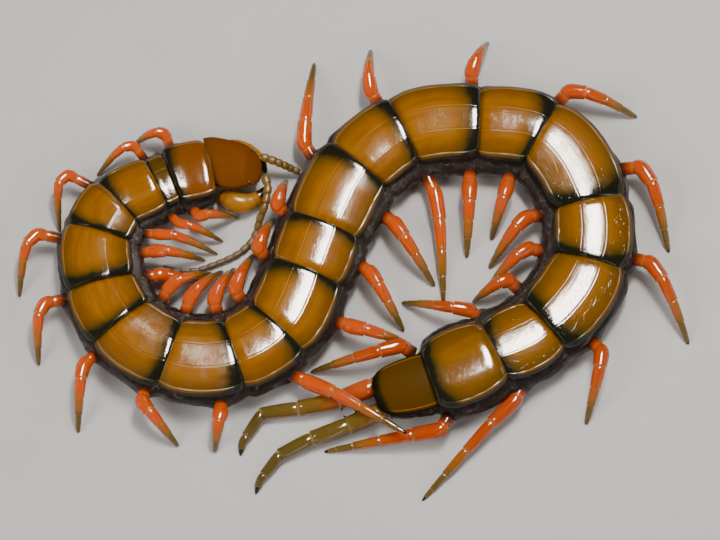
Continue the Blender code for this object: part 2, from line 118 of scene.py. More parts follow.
def mirror_way(tilt_x, tilt_y):
    """Where a lamp must hang to be mirrored by a surface that is tilted so many degrees from level."""
    normal = np.array((math.sin(math.radians(tilt_x)), math.sin(math.radians(tilt_y)), 1.0))
    normal[2] = math.sqrt(1 - normal[0] ** 2 - normal[1] ** 2)
    return 2 * (normal @ VIEW) * normal - VIEW


softbox("key_softbox", (0.13, 0.30, 0.94), 420, (60, 120), 1.0, mirrored=False)
softbox("left_softbox", (-0.8, -0.35, 0.8), 700, (420, 420), 2.7, mirrored=False)
softbox("right_softbox", (1.0, -0.5, 0.7), 700, (420, 420), 1.5, mirrored=False)
softbox("streak_softbox", (0.15, 0.30, 0.94), 900, (190, 400), 22.0, lights=False, colour=(1.0, 0.90, 0.78))
STRIPS, STRIP_TILT = 12, 38
for k in range(STRIPS):
    turn = 2 * math.pi * (k + 0.5) / STRIPS
    outward = np.array((math.cos(turn), math.sin(turn), 0.0))
    softbox(f"strip_{k + 1:02d}", mirror_way(*(outward[:2] * STRIP_TILT)), 800, (24, 560), 0.22, lights=False,
            long_side=outward)
sky = bpy.data.worlds.new("studio")
sky.use_nodes = True
sky.node_tree.nodes["Background"].inputs["Color"].default_value = (1.0, 0.95, 0.88, 1)
sky.node_tree.nodes["Background"].inputs["Strength"].default_value = 0.08
bpy.context.scene.world = sky

# %% [markdown]
# ## One class for shader maths
# A material is a web of sockets. This class wraps one socket, so a mask reads like a formula: `1 - mask`
# adds a Math node by itself. Colours and vectors take Mix and Vector Math nodes instead, since a Math
# node would turn them grey. Every other kind of node comes from the one method `node`.

# %% Sockets that can be added and multiplied
class Socket:
    def __init__(self, tree, socket=None):
        self.tree, self.socket = tree, socket

    def node(self, kind, settings=None, values=None, output=0):
        """Adds a node: its settings first, then numbers or links for its sockets."""
        made = self.tree.nodes.new(kind)
        for name, value in (settings or {}).items():
            setattr(made, name, value)
        for name, value in (values or {}).items():
            if isinstance(value, Socket):
                self.tree.links.new(value.socket, made.inputs[name])
            elif isinstance(value, tuple) and made.inputs[name].type == "RGBA":
                made.inputs[name].default_value = (*value[:3], 1)
            else:
                made.inputs[name].default_value = value
        return Socket(self.tree, made.outputs[output])

    def join(self, operation, other, swap=False):
        first, second = (other, self) if swap else (self, other)
        kinds = {s.socket.type for s in (first, second) if isinstance(s, Socket)}
        if "RGBA" in kinds:
            return self.node("ShaderNodeMix", {"data_type": "RGBA", "blend_type": operation},
                             {0: 1.0, 6: first, 7: second}, output=2)
        if "VECTOR" in kinds:
            return self.node("ShaderNodeVectorMath", {"operation": operation}, {0: first, 1: second})
        return self.node("ShaderNodeMath", {"operation": operation}, {0: first, 1: second})

    def __add__(self, other): return self.join("ADD", other)
    def __radd__(self, other): return self.join("ADD", other, True)
    def __sub__(self, other): return self.join("SUBTRACT", other)
    def __rsub__(self, other): return self.join("SUBTRACT", other, True)
    def __mul__(self, other): return self.join("MULTIPLY", other)
    def __rmul__(self, other): return self.join("MULTIPLY", other, True)
    def __abs__(self): return self.join("ABSOLUTE", 0.0)

    def rise(self, start, end):
        """0 before start, 1 after end, and a soft step between. Start may be a socket."""
        return self.node("ShaderNodeMapRange", {"interpolation_type": "SMOOTHSTEP"},
                         {"Value": self, "From Min": start, "From Max": end})

    def line(self, middle, width):
        """1 on a thin line, fading to 0 at a distance of width."""
        return 1 - abs(self - middle).rise(0.0, width)

    def blend(self, zero, one):
        """Mixes two colours by this mask."""
        return self.node("ShaderNodeMix", {"data_type": "RGBA"}, {0: self, 6: zero, 7: one}, output=2)


print("socket class ready")

# %% [markdown]
# ## The start of every finish
# Each finish is one Principled shader. Numbers that are the same all over, such as the strength of the
# clear coat, are set on the shader's own socket. Patterns come from two sources: named numbers kept on
# the mesh, such as how far along a plate a point lies, and noise in the object's own space.

# %% Finish helper
def finish(name, **constants):
    """A new material; gives it back with its shader and a Socket to start formulas from."""
    material = bpy.data.materials.new(name)
    material.use_nodes = True
    shader = material.node_tree.nodes["Principled BSDF"]
    for socket, value in constants.items():
        shader.inputs[socket.replace("_", " ")].default_value = value
    return material, shader, Socket(material.node_tree)


def tag(start, name):
    """The named number that the mesh keeps at each point."""
    return start.node("ShaderNodeAttribute", {"attribute_name": name}, output="Fac")


def in_mm(start):
    """The place on the object, in millimetres."""
    return start.node("ShaderNodeTexCoord", output="Object") * (1000.0, 1000.0, 1000.0)


def grain(start, scale, detail=3.0, roughness=0.55):
    """Noise with cells of about 1/scale millimetres."""
    return start.node("ShaderNodeTexNoise", {}, {
        "Vector": in_mm(start), "Scale": scale, "Detail": detail, "Roughness": roughness})


def wire(start, shader, colour, rough, height=None, relief=0.1):
    """Feeds a finish's colour, roughness and relief; the relief's height is in millimetres."""
    links = start.tree.links
    links.new(colour.socket, shader.inputs["Base Color"])
    links.new(rough.socket, shader.inputs["Roughness"])
    if height is not None:
        bump = start.node("ShaderNodeBump", {}, {"Height": height, "Distance": relief * MM, "Strength": 1.0},
                          output="Normal")
        links.new(bump.socket, shader.inputs["Normal"])


print("finish helpers ready")

# %% [markdown]
# ## Amber back plates
# The plates are clear brown shell over dark tissue: amber with lengthwise streaks in the middle, olive
# at the margins, and blackish green in a band with a soft edge along the rear. Two thin seams run
# lengthwise, each with a pale line on its outer edge that is a painted highlight, and a raised golden rim
# follows each side; the rim's pale line is partly its own colour and partly a painted highlight. A tint
# number turns a plate towards chestnut (the head's end) or towards dark olive (the short plates and the
# tail); on plates 16 to 20 this darkening is painted shade, as if less light fell there. "worn" takes its
# gloss, and the plates behind the middle are scratched and pitted, as old shell is. The same recipe gives
# a second, satin finish, for the head's shield and the last plate, which don't shine.

# %% Back plate finish
SEAM, RIM = 0.31, 0.93  # where a seam and the rim's ridge lie, from the middle (0) to the edge (1)


def paler(colour, times):
    return tuple(min(1.0, part * times) for part in colour)


def plate_colour(start, streaky, mottle, rear, amber, margin, olive, chestnut, band):
    along, across, tint_and_shade = tag(start, "along"), abs(tag(start, "across")), tag(start, "tint_and_shade")
    seamed = 1 - tag(start, "plain")
    body = streaky.rise(0.40, 0.66).blend(amber, (amber[0] * 0.78, amber[1] * 0.70, 0.0))
    side = (across + mottle * 0.30 - 0.15).rise(0.35, 0.92)
    body = (side * 0.95).blend(body, margin)
    # towards dark olive by the tint number; on plates 16 to 20 this darkening is painted shade, as if less
    # light fell there
    body = tint_and_shade.rise(0.0, 1.0).blend(body, olive)
    body = (0.0 - tint_and_shade).rise(0.0, 1.0).blend(body, chestnut)
    haze = rear["haze"] + (1 - along.rise(0.0, 0.13)) * 0.6 + across.rise(0.80, 1.0) * 0.8
    body = (haze.rise(0.0, 1.3) * 0.85).blend(body, olive)
    body = (across.line(SEAM - 0.005, 0.012) * seamed * 0.8).blend(body, olive)
    # a pale line on the outer edge of each seam: a painted highlight
    body = (across.line(SEAM + 0.015, 0.012) * seamed * 0.6).blend(body, paler(amber, 1.3))
    # the rim's pale golden line: partly its own colour, partly a painted highlight on the ridge
    body = (across.line(RIM - 0.015, 0.022) * (1 - rear["band"]) * 0.7).blend(body, paler(amber, 1.25))
    dark = (rear["band"] * 0.97 + across.rise(0.965, 1.0) * 0.8).rise(0.0, 1.0)
    return dark.blend(body, band)


def plate_finish(name, gloss, *colours):
    """Gloss 1 is wet-looking shell, gloss 0 is satin shell."""
    material, shader, start = finish(name, Specular_IOR_Level=0.02 + 0.58 * gloss, Coat_Roughness=0.05)
    along, across, plate = tag(start, "along"), abs(tag(start, "across")), tag(start, "plate")
    mottle, fine, wrinkle = grain(start, 0.35), grain(start, 2.2, 5.0), grain(start, 1.3, 4.0, 0.6)
    lane = start.node("ShaderNodeCombineXYZ", {}, {
        "X": tag(start, "across") * 5.0, "Y": along * 0.9, "Z": plate * 3.7})
    streaky = start.node("ShaderNodeTexNoise", {}, {
        "Vector": lane, "Scale": 1.0, "Detail": 3.0, "Roughness": 0.6})
    edge = 0.88 - across * across * across * 0.13 + mottle * 0.12 - 0.06 + streaky * 0.08 - 0.04
    rear = {"band": along.rise(edge - 0.10, edge + 0.09), "haze": along.rise(edge - 0.30, edge + 0.02)}
    dull = tag(start, "worn") * (1 - rear["band"]) * (mottle.rise(0.35, 0.6) * 0.6 + 0.4)
    dull = dull + across.rise(0.86, 0.91) * 0.9 + across.line(SEAM, 0.018) * (1 - tag(start, "plain")) * 0.35
    start.tree.links.new(((0.4 - dull * 0.25) * gloss).socket, shader.inputs["Coat Weight"])
    aged = plate.rise(14.5, 16.5) * (1 - plate.rise(19.2, 19.8)) * 0.92 + 0.08
    pits = start.node("ShaderNodeTexVoronoi", {}, {"Vector": in_mm(start), "Scale": 1.1}).rise(0.0, 0.16)
    cracks = start.node("ShaderNodeTexVoronoi", {"feature": "DISTANCE_TO_EDGE"}, {
        "Vector": in_mm(start) + wrinkle * 0.8, "Scale": 0.55}).rise(0.0, 0.035)
    wire(start, shader, plate_colour(start, streaky, mottle, rear, *colours),
         0.05 + (1 - gloss) * 0.33 + fine * 0.10 + dull * 0.24,
         wrinkle * 0.3 + (pits * 0.5 + cracks * streaky.rise(0.45, 0.6) * 0.16) * aged + fine * 0.2, 0.06)
    return material


AMBER, MARGIN, BAND = (0.43, 0.152, 0.0), (0.185, 0.070, 0.0), (0.009, 0.010, 0.004)
plate_shell = plate_finish("plate_shell", 1.0, AMBER, MARGIN, (0.075, 0.048, 0.0), (0.25, 0.067, 0.0), BAND)
satin_shell = plate_finish("satin_shell", 0.0, AMBER, MARGIN, (0.100, 0.042, 0.0), (0.19, 0.050, 0.0), BAND)
print("back plate finishes:", plate_shell.name, satin_shell.name)

# %% [markdown]
# ## Soft dark skin
# Between the plates and the legs lies soft skin, which lets the body bend. It is blackish brown, moist,
# and finely wrinkled, and paler on the raised crests of its folds.

# %% Skin finish
def skin_finish():
    material, shader, start = finish("flank_skin", Specular_IOR_Level=0.35, Coat_Weight=0.4,
                                     Coat_Roughness=0.1)
    lumps, folds = grain(start, 0.5, 4.0), grain(start, 1.6, 6.0, 0.62)
    fine = grain(start, 5.0, 3.0)
    colour = lumps.rise(0.35, 0.75).blend((0.013, 0.007, 0.005), (0.036, 0.020, 0.016))
    # paler where the folds' relief is highest
    colour = (folds.rise(0.55, 0.8) * 0.4).blend(colour, (0.055, 0.034, 0.032))
    wire(start, shader, colour, 0.16 + folds * 0.18, folds * 0.7 + fine * 0.3, 0.26)
    return material


flank_skin = skin_finish()
print("skin finish:", len(flank_skin.node_tree.nodes), "nodes")

# %% [markdown]
# ## Legs, from orange to olive
# A walking leg is clear orange shell near the body. It pales towards the foot, where the muscles inside
# are thin, and ends olive. The soft rings at the joints are straw yellow. "along" runs from hip to foot,
# "ring" is 1 at a joint, and "crest" is 1 along the leg's upper side and -1 under it; the sides and the
# under side are painted darker, as painted shade, so the upper side reads as the lit one. A tint number
# is 1 on the rearmost legs, which get painted shade near the body, as if less light fell there.

# %% Leg finish
def leg_finish(name, root, middle, foot, ring, turn=(0.42, 0.66, 0.80)):
    material, shader, start = finish(name, Specular_IOR_Level=0.6, Coat_Weight=0.6, Coat_Roughness=0.04)
    along, joint = tag(start, "along"), tag(start, "ring")
    mottle, fine = grain(start, 0.9, 4.0), grain(start, 4.0, 3.0)
    place = along + mottle * 0.16 - 0.08
    colour = place.rise(turn[0], turn[1]).blend(root, middle)
    colour = place.rise(turn[1], turn[2]).blend(colour, foot)
    # a dark red, used both for dark mottling and as painted shade
    mottle_and_shade = (root[0] * 0.42, root[1] * 0.34, root[2])
    colour = (mottle.rise(0.5, 0.8) * 0.35 * (1 - place.rise(0.4, 0.6))).blend(colour, mottle_and_shade)
    # painted shade: the sides and the under side are darker, so the upper side reads as lit
    colour = ((1 - tag(start, "crest").rise(-0.2, 0.85)) * 0.75).blend(colour, mottle_and_shade)
    # painted shade on the rearmost legs, near the body
    colour = (tag(start, "tint_and_shade") * (1 - place.rise(turn[0], turn[2])) * 0.45).blend(colour, mottle_and_shade)
    colour = (joint * 0.5).blend(colour, ring)
    colour = (1 - along.rise(-0.08, 0.03)).blend(colour, (0.10, 0.022, 0.008))
    wire(start, shader, colour, 0.05 + fine * 0.08, mottle * 0.6 + fine * 0.4, 0.03)
    return material


leg_shell = leg_finish("leg_shell", (0.78, 0.098, 0.002), (0.42, 0.13, 0.010), (0.16, 0.095, 0.014),
                       (0.60, 0.30, 0.06))
tail_shell = leg_finish("tail_shell", (0.34, 0.13, 0.012), (0.17, 0.105, 0.012), (0.13, 0.085, 0.015),
                        (0.55, 0.36, 0.12), (0.05, 0.30, 0.8))
tail_shell_left = leg_finish("tail_shell_left", (0.66, 0.10, 0.01), (0.20, 0.115, 0.014),
                             (0.13, 0.085, 0.015), (0.55, 0.36, 0.12), (0.22, 0.44, 0.8))
print("leg finishes:", leg_shell.name, tail_shell.name, tail_shell_left.name)

# %% [markdown]
# ## Feelers, jaws, claws, eyes and belly
# Feelers are satin and olive, ringed where their many joints meet, and their outer part is downy, so it
# is rougher. Jaws are honey yellow shell. Claws are black horn, brown where they leave the shell. Eyes
# are black and shine like glass. Belly plates are paler than the back.

# %% Small finishes
def feeler_finish():
    material, shader, start = finish("feeler_shell", Specular_IOR_Level=0.5)
    along, joint, fine = tag(start, "along"), tag(start, "ring"), grain(start, 6.0, 3.0)
    colour = (along + fine * 0.2).rise(0.1, 1.0).blend((0.24, 0.125, 0.015), (0.13, 0.085, 0.038))
    colour = (joint * 0.7).blend(colour, (0.09, 0.05, 0.012))
    wire(start, shader, colour, 0.22 + along.rise(0.15, 0.35) * 0.28, fine, 0.06)
    return material


def jaw_finish():
    material, shader, start = finish("jaw_shell", Specular_IOR_Level=0.3, Coat_Weight=0.1, Coat_Roughness=0.1)
    along, joint = tag(start, "along"), tag(start, "ring")
    mottle, fine = grain(start, 0.6, 4.0), grain(start, 3.0, 4.0)
    colour = (along + mottle * 0.5 - 0.2).rise(0.0, 0.75).blend((0.30, 0.092, 0.002), (0.50, 0.20, 0.003))
    colour = (joint * 0.7).blend(colour, (0.16, 0.05, 0.006))
    wire(start, shader, colour, 0.20 + fine * 0.15, mottle * 0.5 + fine * 0.5, 0.03)
    return material


def horn_finish():
    material, shader, start = finish("claw_horn", Specular_IOR_Level=0.7, Coat_Weight=0.4,
                                     Coat_Roughness=0.06)
    along, fine = tag(start, "along"), grain(start, 5.0, 4.0)
    colour = (along + fine * 0.2 - 0.1).rise(0.05, 0.45).blend((0.10, 0.035, 0.008), (0.006, 0.005, 0.005))
    wire(start, shader, colour, 0.10 + fine * 0.15, fine, 0.03)
    return material


def eye_finish():
    material, shader, start = finish("eye_lens", Specular_IOR_Level=0.9, Coat_Weight=0.8, Coat_Roughness=0.02)
    fine = grain(start, 3.0, 2.0)
    colour = fine.rise(0.3, 0.7).blend((0.004, 0.004, 0.005), (0.016, 0.011, 0.008))
    wire(start, shader, colour, 0.04 + fine * 0.05)
    return material


def belly_finish():
    material, shader, start = finish("belly_shell", Specular_IOR_Level=0.5, Coat_Weight=0.2)
    along, across = tag(start, "along"), abs(tag(start, "across"))
    mottle, fine = grain(start, 0.4, 4.0), grain(start, 3.0, 4.0)
    colour = (mottle + across * 0.3 - 0.2).rise(0.1, 0.8).blend((0.36, 0.20, 0.05), (0.22, 0.115, 0.025))
    dark = (along.rise(0.84, 0.96) + across.line(0.42, 0.02) * 0.5).rise(0.0, 1.0)
    wire(start, shader, (dark * 0.8).blend(colour, (0.03, 0.022, 0.012)), 0.22 + fine * 0.16,
         mottle * 0.4 + fine * 0.6, 0.06)
    return material


feeler_shell, jaw_shell, claw_horn = feeler_finish(), jaw_finish(), horn_finish()
eye_lens, belly_shell = eye_finish(), belly_finish()
print("small finishes:", feeler_shell.name, jaw_shell.name, claw_horn.name, eye_lens.name, belly_shell.name)

# %% [markdown]
# ## The floor
# A plain pale floor shows the animal's outline and catches its shadow. It is part of the stage only.

# %% Floor
def make_floor():
    bpy.ops.mesh.primitive_plane_add(size=4.0)
    floor = bpy.context.object
    floor.name = "studio_floor"
    material, shader, start = finish("studio_paper")
    paper = grain(start, 0.05, 4.0)
    colour = paper.rise(0.2, 0.8).blend((0.60, 0.585, 0.56), (0.66, 0.645, 0.62))
    wire(start, shader, colour, 0.55 + paper * 0.1)
    floor.data.materials.append(material)
    floor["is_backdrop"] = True
    return floor


print("floor:", make_floor().name)

# %% [markdown]
# ## The plan of the pose
# The whole pose hangs on one route: the middle of the back in plan, given at the front of the head and
# at the rear edge of each plate. These are the same driving sizes as in the solids' own source.

# %% Route and plate sizes
ROUTE = np.array((
    (-17.9, 19.2), (-27.5, 20.1), (-34.4, 18.4), (-37.3, 17.0), (-44.4, 13.2), (-47.4, 7.6),
    (-46.7, -2.1), (-42.8, -9.8), (-33.7, -15.7), (-22.3, -15.7), (-14.5, -10.7), (-9.5, -0.2),
    (-6.3, 8.6), (-0.4, 20.3), (8.0, 26.9), (21.8, 28.5), (33.3, 26.5), (41.7, 13.0),
    (41.4, 1.7), (33.1, -10.3), (23.5, -15.4), (12.3, -20.2), (2.5, -22.8),
))
PLAN_CENTRE = np.array((-1.4, 3.0, 0.0))
PLATE_WIDTH = (11.2, 9.8, 10.8, 12.0, 12.6, 13.0, 13.4, 14.0, 14.0, 14.2, 14.2,
               14.5, 14.0, 14.3, 14.2, 14.4, 14.0, 14.0, 13.2, 14.2, 10.2)
PLATES = len(PLATE_WIDTH)
BELLY_Z = 1.9
TRUNK_DEPTH = 0.52
NECK_SLANT = 0.36
plate_length = np.linalg.norm(np.diff(ROUTE, axis=0), axis=1)
head_forward = (ROUTE[0] - ROUTE[1]) / plate_length[0]
head_left = np.array((-head_forward[1], head_forward[0]))
print("body length in mm:", round(plate_length.sum()))

# %% [markdown]
# A smooth line through the stops needs a direction at each: the mean of the directions before and after,
# weighted by their lengths. Between two stops a cubic does the rest.

# %% Walking along the route
def unit(vector):
    return vector / np.linalg.norm(vector)


def stop_direction(i):
    if i == 1:
        return -unit(head_forward + head_left * NECK_SLANT)
    if i in (0, PLATES + 1):
        return unit(ROUTE[min(i + 1, PLATES + 1)] - ROUTE[min(i, PLATES)])
    before, after = unit(ROUTE[i] - ROUTE[i - 1]), unit(ROUTE[i + 1] - ROUTE[i])
    return unit(before * plate_length[i] + after * plate_length[i - 1])


STOP_DIRECTION = [stop_direction(i) for i in range(len(ROUTE))]


def cubic(a, u, b, v, t):
    """From a to b as t goes from 0 to 1, leaving a at speed u and reaching b at speed v."""
    return a * (2*t**3 - 3*t**2 + 1) + u * (t**3 - 2*t**2 + t) + b * (3*t**2 - 2*t**3) + v * (t**3 - t**2)


def on_route(station):
    """Plan point, way to the head and way to the left, so many plates behind the neck."""
    i = int(min(max(math.floor(station), -1), PLATES - 1)) + 1
    t, length = station - (i - 1), plate_length[i]
    a, b, u, v = ROUTE[i], ROUTE[i + 1], STOP_DIRECTION[i] * length, STOP_DIRECTION[i + 1] * length
    slope = a * (6*t**2 - 6*t) + u * (3*t**2 - 4*t + 1) + b * (6*t - 6*t**2) + v * (3*t**2 - 2*t)
    forward = -unit(slope)
    return cubic(a, u, b, v, t), forward, np.array((-forward[1], forward[0]))


print("the middle of plate 11 in plan:", [round(float(x), 1) for x in on_route(10.5)[0]])

# %% [markdown]
# Where the route bends, the soft flank bunches up on the inside and is drawn thin on the outside. Most
# other forms come from tables of stops, and `smooth` reads between their rows.

# %% Bends and tables of stops
def bend_at(i):
    """How sharply the route turns to the animal's left at a stop, per millimetre."""
    if i in (0, len(ROUTE) - 1):
        return 0.0
    (ax, ay), (bx, by) = ROUTE[i] - ROUTE[i - 1], ROUTE[i + 1] - ROUTE[i]
    return -math.atan2(ax * by - ay * bx, ax * bx + ay * by) * 2 / (plate_length[i - 1] + plate_length[i])


def flank_share(station, sign):
    """The soft flank's width as a share of the plate's: it bunches on the inside of a bend."""
    bend = np.interp(station, range(-1, PLATES + 1), [bend_at(i) for i in range(len(ROUTE))])
    free = min(max(1.26 + 2.0 * bend * sign, 1.14), 1.36)
    return free + (1.1 - free) * min(max(station - 19.7, 0.0), 1.0)


def smooth(stops, at):
    """Values on a smooth line through stops, each a place followed by its values."""
    table = np.array(stops, float)
    places, values = table[:, 0], table[:, 1:]
    slopes = np.gradient(values, places, axis=0)
    at = np.clip(np.atleast_1d(np.asarray(at, float)), places[0], places[-1])
    i = np.clip(np.searchsorted(places, at, side="right") - 1, 0, len(places) - 2)
    gap = places[i + 1] - places[i]
    t, gap = ((at - places[i]) / gap)[:, None], gap[:, None]
    return cubic(values[i], slopes[i] * gap, values[i + 1], slopes[i + 1] * gap, t)


print("tightest bend in 1/mm:", round(max(abs(bend_at(i)) for i in range(len(ROUTE))), 3))

# %% [markdown]
# ## Lofts
# Nearly every form here is a loft: rings of points, joined ring to ring and closed at both ends. Small
# helpers shape one ring. One large helper takes any number of lofts and makes them one mesh, and writes
# the named numbers that the finishes read.

# %% Ring helpers
def column(values):
    """Numbers as one column, such as one for each ring of a loft."""
    return np.asarray(values, float)[:, None]


def there_and_back(over, under):
    """A closed ring: over one side and back under the other."""
    return np.concatenate((over, under[::-1]))


def row_of_points(point, way, out, height):
    """Points at distances along a way in plan, each at its height."""
    return np.column_stack((point + way * column(out), height))


def circle(side, up, around):
    """Points round a circle of radius 1 that is spanned by two directions."""
    turns = np.linspace(0, 2 * math.pi, around, endpoint=False)
    return column(np.cos(turns)) * side + column(np.sin(turns)) * up


def bell(distance, width):
    """1 at no distance, fading to 0 over a width."""
    return np.exp(-(distance / width) ** 2)


print("a ring there and back:", there_and_back(np.arange(3), np.arange(3)))

# %% Loft helper
def add_piece(name, shells, material, creases=()):
    """One mesh from lofts; each is an array of rings in millimetres and a dict of named numbers.
    Creases are the places on the rings whose lengthwise edges stay sharp."""
    points, faces, tags, first = [], [], {}, 0
    for rings, numbers in shells:
        rings = np.array(rings, float)
        rings[..., 2] = np.maximum(rings[..., 2], 0.0)
        rows, around = rings.shape[:2]
        index = np.arange(rows * around).reshape(rows, around) + first
        turned = np.roll(index, -1, axis=1)
        faces.append(np.stack((index[:-1], turned[:-1], turned[1:], index[1:]), -1).reshape(-1, 4))
        half = around // 2
        for ring, ends in ((index[0], 1), (index[-1], -1)):
            left, right = ring[:half], ring[::-1][:half]
            cap = np.stack((left[:-1], right[:-1], right[1:], left[1:]), -1)
            faces.append(cap[:, ::ends])
        points.append(rings.reshape(-1, 3))
        for key, value in numbers.items():
            tags.setdefault(key, []).append(np.broadcast_to(value, (rows, around)).reshape(-1))
        first += rows * around
    mesh = bpy.data.meshes.new(name)
    points = (np.concatenate(points) - PLAN_CENTRE) * MM
    mesh.from_pydata(points.tolist(), [], np.concatenate(faces).tolist())
    for key, values in tags.items():
        values = np.concatenate(values).astype(np.float32)
        mesh.attributes.new(key, "FLOAT", "POINT").data.foreach_set("value", values)
    bm = bmesh.new()
    bm.from_mesh(mesh)
    bmesh.ops.recalc_face_normals(bm, faces=bm.faces[:])
    for face in bm.faces:
        face.smooth = True
    for edge in bm.edges:
        one, other = (vertex.index % around for vertex in edge.verts)
        edge.smooth = not (one == other and one in creases)
    bm.to_mesh(mesh)
    bm.free()
    mesh.materials.append(material)
    piece = bpy.data.objects.new(name, mesh)
    bpy.context.scene.collection.objects.link(piece)
    print(name, "-", len(mesh.polygons), "faces")
    return piece


def dress(piece, slot, *nodes):
    """The piece moves with the model and hides the solids that it stands for. The slot is not used."""
    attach(piece, "root")
    if nodes:
        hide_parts(*nodes)
    return piece


TRUNK_NODES = [f"trunk_{i:02d}_{i + 1:02d}" for i in range(1, PLATES, 2)] + [f"trunk_{PLATES}"]
print("trunk nodes:", len(TRUNK_NODES))

# %% [markdown]
# ## The skin
# One skin runs the whole length of the trunk, so no seam shows. Its section is a low oval. Between two
# segments it is pinched in, at each leg it swells into the leg's root, and slow and fast noise gives the
# lumps and creases of soft tissue.

# %% Skin
SKIN_HALF = (  # place from the middle of the belly to the middle of the back, out, up
    (0.00, 0.00, 0.03), (0.14, 0.36, 0.03), (0.24, 0.60, 0.045), (0.35, 0.84, 0.085), (0.45, 0.985, 0.18),
    (0.53, 1.00, 0.31), (0.62, 0.93, 0.46), (0.70, 0.82, 0.58), (0.80, 0.66, 0.72), (0.90, 0.36, 0.84),
    (1.00, 0.00, 0.88),
)
MIDDLES = [-0.2] + [i + 0.5 for i in range(PLATES - 1)] + [PLATES - 1.15, PLATES - 0.98, PLATES - 0.5, PLATES]
BODY_WIDTH = [9.0, *PLATE_WIDTH[:-1], 13.0, 9.9, 9.4, 7.4]
LEFT_ROOTS = (0.8, 1.8, 3.0, 4.15, 5.05, 6.05, 6.8, 7.7, 8.65, 9.5, 10.55, 11.55, 13.1, 13.9, 14.6, 15.95,
              16.9, 17.85, 18.85, 20.1)
RIGHT_ROOTS = (0.65, 2.0, 3.1, 4.35, 5.05, 6.15, 6.95, 7.85, 8.85, 10.05, 11.0, 11.8, 12.9, 13.9, 14.95, 15.7,
               16.75, 17.7, 18.7, 19.9)


SKIN_SHARE = 0.97  # of the plate's width
FLANK, LEG_ROW = (0.52, 0.17), (0.42, 0.12)  # middle and width, as places in the section
PINCH = (0.07, 0.55)  # length in plates, depth
SWELL = (1.5, 0.95)  # length, height
SKIN_ENDS, SKIN_RINGS = (0.02, 20.80), 620


def skin_ring(station, half_count=40):
    point, _, left = on_route(station)
    width = np.interp(station, MIDDLES, BODY_WIDTH) * SKIN_SHARE
    places = np.linspace(0.0, 1.0, half_count)
    section = smooth(SKIN_HALF, places)
    up = section[:, 1] * width * TRUNK_DEPTH
    flank, leg_row = (bell(places - middle, spread) for middle, spread in (FLANK, LEG_ROW))
    pinch = bell(abs(station - round(station)), PINCH[0]) * PINCH[1]
    ring = []
    for sign, roots in ((1, LEFT_ROOTS), (-1, RIGHT_ROOTS)):
        wide = 1 + (flank_share(station, sign) - 1) * np.clip((0.82 - places) / 0.2, 0, 1)
        root = min(abs(station - r) for r in roots) * plate_length[min(int(station) + 1, PLATES)]
        out = section[:, 0] * wide * width / 2 - pinch * flank + SWELL[1] * bell(root, SWELL[0]) * leg_row
        for k, place in enumerate(places):
            spot = Vector((station * 4.0, place * 9.0, sign * 20.0))
            lump = noise.noise(spot) * 0.22 + noise.noise(spot * 3.1) * 0.10
            out[k] += (lump + abs(noise.noise(spot * 6.3)) * 0.07) * flank[k]
        ring.append(row_of_points(point, left * sign, out, BELLY_Z + up))
    return there_and_back(*ring)


def make_skin():
    rings = [skin_ring(station) for station in np.linspace(*SKIN_ENDS, SKIN_RINGS)]
    middle = rings[-1].mean(axis=0)
    for scale in (0.85, 0.5):
        rings.append(middle + (rings[-1] - middle) * scale)
    return add_piece("trunk_skin", [(rings, {})], flank_skin)


dress(make_skin(), "amber_shell", *TRUNK_NODES)

# %% [markdown]
# ## Back plates
# Each of the twenty-one back plates is a thick curved shield. Its front edge dips under the plate ahead
# and its rear edge lies over the next one. The arch across it is nearly flat in the middle and steep at
# the sides, with a crease at each lengthwise seam. Seen from above, most plates have nearly straight
# sides, the rear ones are rounder, and the last one narrows to a blunt end.

# %% Arches and outlines
SIDE = ((0.92, 27.0), (0.97, 42.0), (1.03, 62.0))  # place from the middle (0) to the edge (1), degrees
SLOPES = ((0.0, 0.0), (0.307, 5.5), (0.313, 11.5), (0.86, 17.0), *SIDE)
CREASED_SLOPES = ((0.0, 0.0), (0.309, 4.0), (0.311, 14.5), (0.86, 18.0), *SIDE)
PLAIN_SLOPES = ((0.0, 0.0), (0.35, 7.0), (0.70, 15.0), (0.86, 20.0), (0.92, 28.0), *SIDE[1:])
OUTLINE = (  # share of the plate's length, width, height
    (-0.05, 0.85, 0.895), (0.0, 0.88, 0.925), (0.05, 0.925, 0.966), (0.12, 0.965, 0.986), (0.25, 0.99, 0.994),
    (0.6, 1.0, 1.0), (0.84, 0.993, 1.006), (0.92, 0.965, 1.003), (0.97, 0.915, 0.99), (1.0, 0.86, 0.972),
)
ROUNDED = (
    (-0.05, 0.83, 0.895), (0.0, 0.86, 0.925), (0.05, 0.91, 0.966), (0.12, 0.955, 0.986), (0.25, 0.99, 0.994),
    (0.55, 1.0, 1.0), (0.78, 0.985, 1.006), (0.90, 0.935, 1.003), (0.96, 0.87, 0.99), (1.0, 0.79, 0.972),
)
BARREL = (
    (-0.05, 0.76, 0.895), (0.0, 0.81, 0.925), (0.05, 0.86, 0.966), (0.12, 0.91, 0.986), (0.27, 0.975, 0.994),
    (0.5, 1.0, 1.0), (0.72, 0.97, 1.002), (0.88, 0.885, 0.996), (0.96, 0.79, 0.985), (1.0, 0.70, 0.972),
)
TAIL_SHIELD = (
    (-0.05, 0.92, 0.90), (0.0, 0.96, 0.935), (0.05, 0.975, 0.965), (0.12, 0.985, 0.975), (0.35, 0.97, 0.98),
    (0.6, 0.91, 0.97), (0.78, 0.82, 0.95), (0.90, 0.68, 0.92), (0.96, 0.55, 0.89), (1.0, 0.36, 0.86),
)
OUTLINES = {**dict.fromkeys((16, 17, 18), ROUNDED), 19: BARREL, 20: BARREL, PLATES: TAIL_SHIELD}


